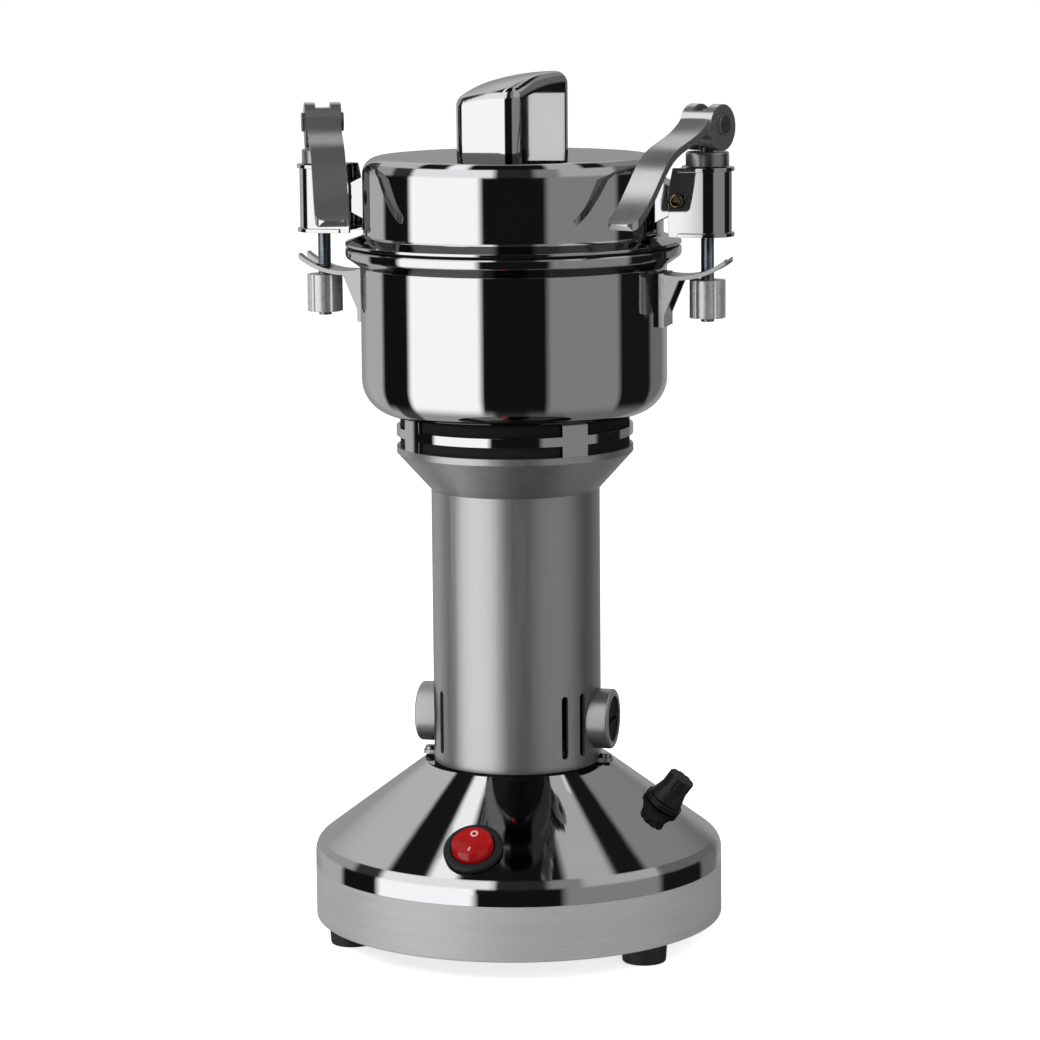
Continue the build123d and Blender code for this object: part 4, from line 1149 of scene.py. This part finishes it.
@dataclass
class Base:
    """Satin band, polished cone and rubber feet; sizes in millimetres."""

    shop: Workshop
    radius: float = 80.0
    bottom: float = 8.2
    bottom_edge: float = 0.9
    band_top: float = 29.8
    band_edge: float = 0.35
    bore: float = 77.5
    plate_top: float = 13.2
    ledge_top: float = 16.2
    ledge_bore: float = 70.5
    foot_count: int = 3
    foot_circle: float = 67.7
    foot_radius: float = 9.2
    foot_taper: float = 0.8
    foot_top: float = 11.2
    foot_edge: float = 0.9
    foot_first: float = -30.0
    screw_hole: float = 4.1
    screw_hole_depth: float = 4.0
    screw_hole_edge: float = 0.4

    def build(self) -> None:
        """Builds the band and the feet, and dresses the cone."""
        self.band()
        self.feet()
        self.shop.dress("base_cone", MIRROR_STEEL)

    def band(self) -> None:
        """Turns the band, with the ledge inside it that the bottom plate is screwed to."""
        outline = millimetres(
            [
                (self.bore, self.bottom, 0.0),
                (self.radius, self.bottom, self.bottom_edge),
                (self.radius, self.band_top, self.band_edge),
                (self.bore, self.band_top, 0.0),
                (self.bore, self.ledge_top, 0.0),
                (self.ledge_bore, self.ledge_top, 0.0),
                (self.ledge_bore, self.plate_top, 0.0),
                (self.bore, self.plate_top, 0.0),
            ]
        )
        mesh = self.shop.turned(rounded_outline(outline), BAND_CAST, LARGE_TURN)
        self.shop.place(mesh, "base_band", BAND_CAST, "body", ("base_ring",))

    def feet(self) -> None:
        """Turns one tapered foot with its screw hole, and sets the feet on their circle."""
        outline = millimetres(
            [
                (0.0, self.screw_hole_depth, 0.0),
                (self.screw_hole, self.screw_hole_depth, 0.0),
                (self.screw_hole, 0.0, self.screw_hole_edge),
                (self.foot_radius - self.foot_taper, 0.0, self.foot_edge),
                (self.foot_radius, self.foot_top, 0.0),
                (0.0, self.foot_top, 0.0),
            ]
        )
        one = self.shop.turned(rounded_outline(outline, FOOT_ROUND), BLACK_RUBBER, FOOT_TURN)
        circle = self.foot_circle * MM
        feet = self.shop.ring_of(one, BLACK_RUBBER, self.foot_count, circle, self.foot_first)
        nodes = ("foot_front_right", "foot_front_left", "foot_rear")
        self.shop.place(feet, "rubber_feet", BLACK_RUBBER, "body", nodes)


@dataclass
class Fittings:
    """Rocker switch, fuse holder and cord gland on the cone; sizes in millimetres."""

    shop: Workshop
    switch: ConePlace = field(default_factory=lambda: ConePlace(-90.0, 66.0))
    pivot_height: float = 1.7
    rocker_tilt: float = 8.0
    rocker_sharp: float = 12.0
    face_height: float = 2.6
    mark_offset: float = 4.3
    mark_thickness: float = 0.16
    ring_bore: float = 0.85
    ring_radius: float = 1.45
    bar_width: float = 0.6
    bar_length: float = 2.4

    def build(self) -> None:
        """Dresses the moulded pieces and prints the rocker's two marks."""
        dressed = self.shop.from_cad
        dressed("switch_body", BLACK_PLASTIC, "body", Edge.CRISP)
        dressed("switch_rocker", RED_PLASTIC, "rocker", Edge.SOFT, self.rocker_sharp)
        dressed("fuse_holder", BLACK_PLASTIC, "body", Edge.EASED)
        dressed("fuse_cap", BLACK_PLASTIC, "fuse_cap", Edge.CRISP)
        dressed("cord_gland", BLACK_RUBBER, "body", Edge.EASED)
        self.mark(self.ring(), "off_mark", 1)
        self.mark(self.bar(), "on_mark", -1)

    def mark(self, mesh: bpy.types.Mesh, name: str, half: int) -> None:
        """Lays a mark on one half of the rocker's face.

        Args:
            mesh: The mark, flat on the XY plane about the origin.
            name: Piece name.
            half: 1 for the upper half of the face, -1 for the lower.
        """
        tilt = math.radians(self.rocker_tilt)
        height = self.face_height + self.mark_offset * math.tan(tilt) - self.mark_thickness / 2
        spot = Vector((0.0, half * self.mark_offset, height)) * MM
        on_face = Matrix.Translation(spot) @ Matrix.Rotation(half * tilt, 4, "X")
        pivot = Matrix.Translation((0.0, 0.0, self.pivot_height * MM))
        mesh.transform(self.switch.matrix() @ pivot @ Matrix.Rotation(-tilt, 4, "X") @ on_face)
        self.shop.place(mesh, name, MARK_WHITE, "rocker")

    def ring(self) -> bpy.types.Mesh:
        """Makes the flat ring of the off mark.

        Returns:
            The ring, on the XY plane.
        """
        outline = millimetres(
            [
                (self.ring_bore, 0.0, 0.0),
                (self.ring_radius, 0.0, 0.0),
                (self.ring_radius, self.mark_thickness, 0.0),
                (self.ring_bore, self.mark_thickness, 0.0),
            ]
        )
        return self.shop.turned(rounded_outline(outline), MARK_WHITE, MARK_TURN)

    def bar(self) -> bpy.types.Mesh:
        """Makes the flat bar of the on mark.

        Returns:
            The bar, on the XY plane.
        """
        size = Vector((self.bar_width, self.bar_length, self.mark_thickness)) * MM
        shape = bmesh.new()
        bmesh.ops.create_cube(shape, size=1.0)
        bmesh.ops.scale(shape, vec=size, verts=shape.verts)
        bmesh.ops.translate(shape, vec=(0.0, 0.0, size.z / 2), verts=shape.verts)
        mesh = bpy.data.meshes.new("bar")
        shape.to_mesh(mesh)
        shape.free()
        return mesh


@dataclass
class MotorColumn:
    """Satin column, brush caps, collar, and near-black screens painted as shade in the vents."""

    shop: Workshop

    def build(self) -> None:
        """Dresses the column and everything screwed into it."""
        self.shop.from_cad("motor_column", COLUMN_CAST, "body", Edge.BLUNT)
        self.shop.from_cad("brush_caps", CAP_PLASTIC, "body", Edge.FINE)
        self.shop.from_cad("vent_collar", MIRROR_STEEL, "body", Edge.FINE)
        # painted shade: the vent screen is near black so the collar's slots read as shade
        self.shop.dress("vent_screen", SHADE_SCREEN)


@dataclass
class Vessel:
    """Polished bowl and lid; sizes in millimetres."""

    shop: Workshop
    radius: float = 59.2
    bottom: float = 206.8
    corner: float = 14.0
    wall: float = 1.5
    seal_bore: float = 9.0
    flare_start: float = 264.2
    flare_bend: float = 0.8
    rim_radius: float = 64.9
    rim_bottom: float = 268.2
    rim: float = 271.8
    rim_under: float = 2.0
    rim_edge: float = 1.2
    mouth_edge: float = 0.3
    lid_bottom: float = 272.6
    lid_radius: float = 58.0
    flange_top: float = 276.0
    flange_bend: float = 1.6
    flange_edge: float = 1.0
    flange_upper_edge: float = 0.25
    flange_lower_edge: float = 0.2
    lid_top: float = 306.2
    shoulder: float = 6.5
    crown: float = 0.9

    def build(self) -> None:
        """Builds the bowl and the lid, and dresses what is fixed to them."""
        self.bowl()
        self.lid()
        self.shop.dress("lid_handle", MIRROR_STEEL)
        self.shop.from_cad("lid_lugs", MIRROR_STEEL, "body", Edge.EASED)
        self.shop.from_cad("bowl_hooks", HOOK_STEEL, "body", Edge.CRISP)

    def bowl(self) -> None:
        """Turns the bowl, with its flared rim."""
        inner = self.radius - self.wall
        outline = millimetres(
            [
                (self.seal_bore, self.bottom, 0.0),
                (self.radius, self.bottom, self.corner),
                (self.radius, self.flare_start, self.flare_bend),
                (self.rim_radius, self.rim_bottom, self.rim_under),
                (self.rim_radius, self.rim, self.rim_edge),
                (inner, self.rim, self.mouth_edge),
                (inner, self.bottom + self.wall, self.corner - self.wall),
                (self.seal_bore, self.bottom + self.wall, 0.0),
            ]
        )
        mesh = self.shop.turned(rounded_outline(outline, LARGE_ROUND), MIRROR_STEEL, LARGE_TURN)
        self.shop.place(mesh, "bowl_shell", MIRROR_STEEL, "body", ("bowl", "rim_ring"))

    def lid(self) -> None:
        """Turns the lid, with its sloping flange and crowned top."""
        inner = self.lid_radius - self.wall
        apex = self.lid_top + self.crown
        outline = millimetres(
            [
                (0.0, apex, 0.0),
                (self.lid_radius, self.lid_top, self.shoulder),
                (self.lid_radius, self.flange_top, self.flange_bend),
                (self.rim_radius, self.lid_bottom + self.flange_edge, self.flange_upper_edge),
                (self.rim_radius, self.lid_bottom, self.flange_lower_edge),
                (inner, self.lid_bottom, self.mouth_edge),
                (inner, self.lid_top - self.wall, self.shoulder - self.wall),
                (0.0, apex - self.wall, 0.0),
            ]
        )
        mesh = self.shop.turned(rounded_outline(outline, LARGE_ROUND), MIRROR_STEEL, LARGE_TURN)
        self.shop.place(mesh, "lid_dome", MIRROR_STEEL, "body", ("lid_shell", "lid_flange"))


@dataclass
class Clamp:
    """One swing-bolt clamp: housing, collar, draw rod, cam lever and nut."""

    shop: Workshop
    side: Side

    def build(self) -> None:
        """Dresses the clamp's pieces, each on the body that carries it."""
        for node, finish, body, edge in (
            ("clamp_housing", MIRROR_STEEL, "clamp", Edge.CRISP),
            ("clamp_screw", BRASS, "clamp", Edge.HAIR),
            ("clamp_collar", SATIN_STEEL, "swivel", Edge.FINE),
            ("draw_rod", THREADED_ZINC, "rod", Edge.FINE),
            ("clamp_lever", LEVER_STEEL, "lever", Edge.ROUND),
            ("lever_pin", SATIN_STEEL, "lever", Edge.FINE),
            ("adjusting_nut", NUT_CAST, "nut", Edge.SOFT),
        ):
            word = self.side.value
            self.shop.from_cad(f"{node}_{word}", finish, f"{body}_{word}", edge)


def main() -> None:
    """Builds the stage and every sub-assembly."""
    logging.basicConfig(level=logging.INFO, format="%(name)s %(message)s")
    Stage().build()
    shop = Workshop(FinishShop())
    for node, finish in CAD_FINISHES.items():
        shop.dress(node, finish)
    for assembly in (
        Base(shop),
        Fittings(shop),
        MotorColumn(shop),
        Vessel(shop),
        Clamp(shop, Side.RIGHT),
        Clamp(shop, Side.LEFT),
    ):
        assembly.build()
    LOG.info("%d pieces made", len(shop.pieces))


if __name__ == "__main__":
    main()
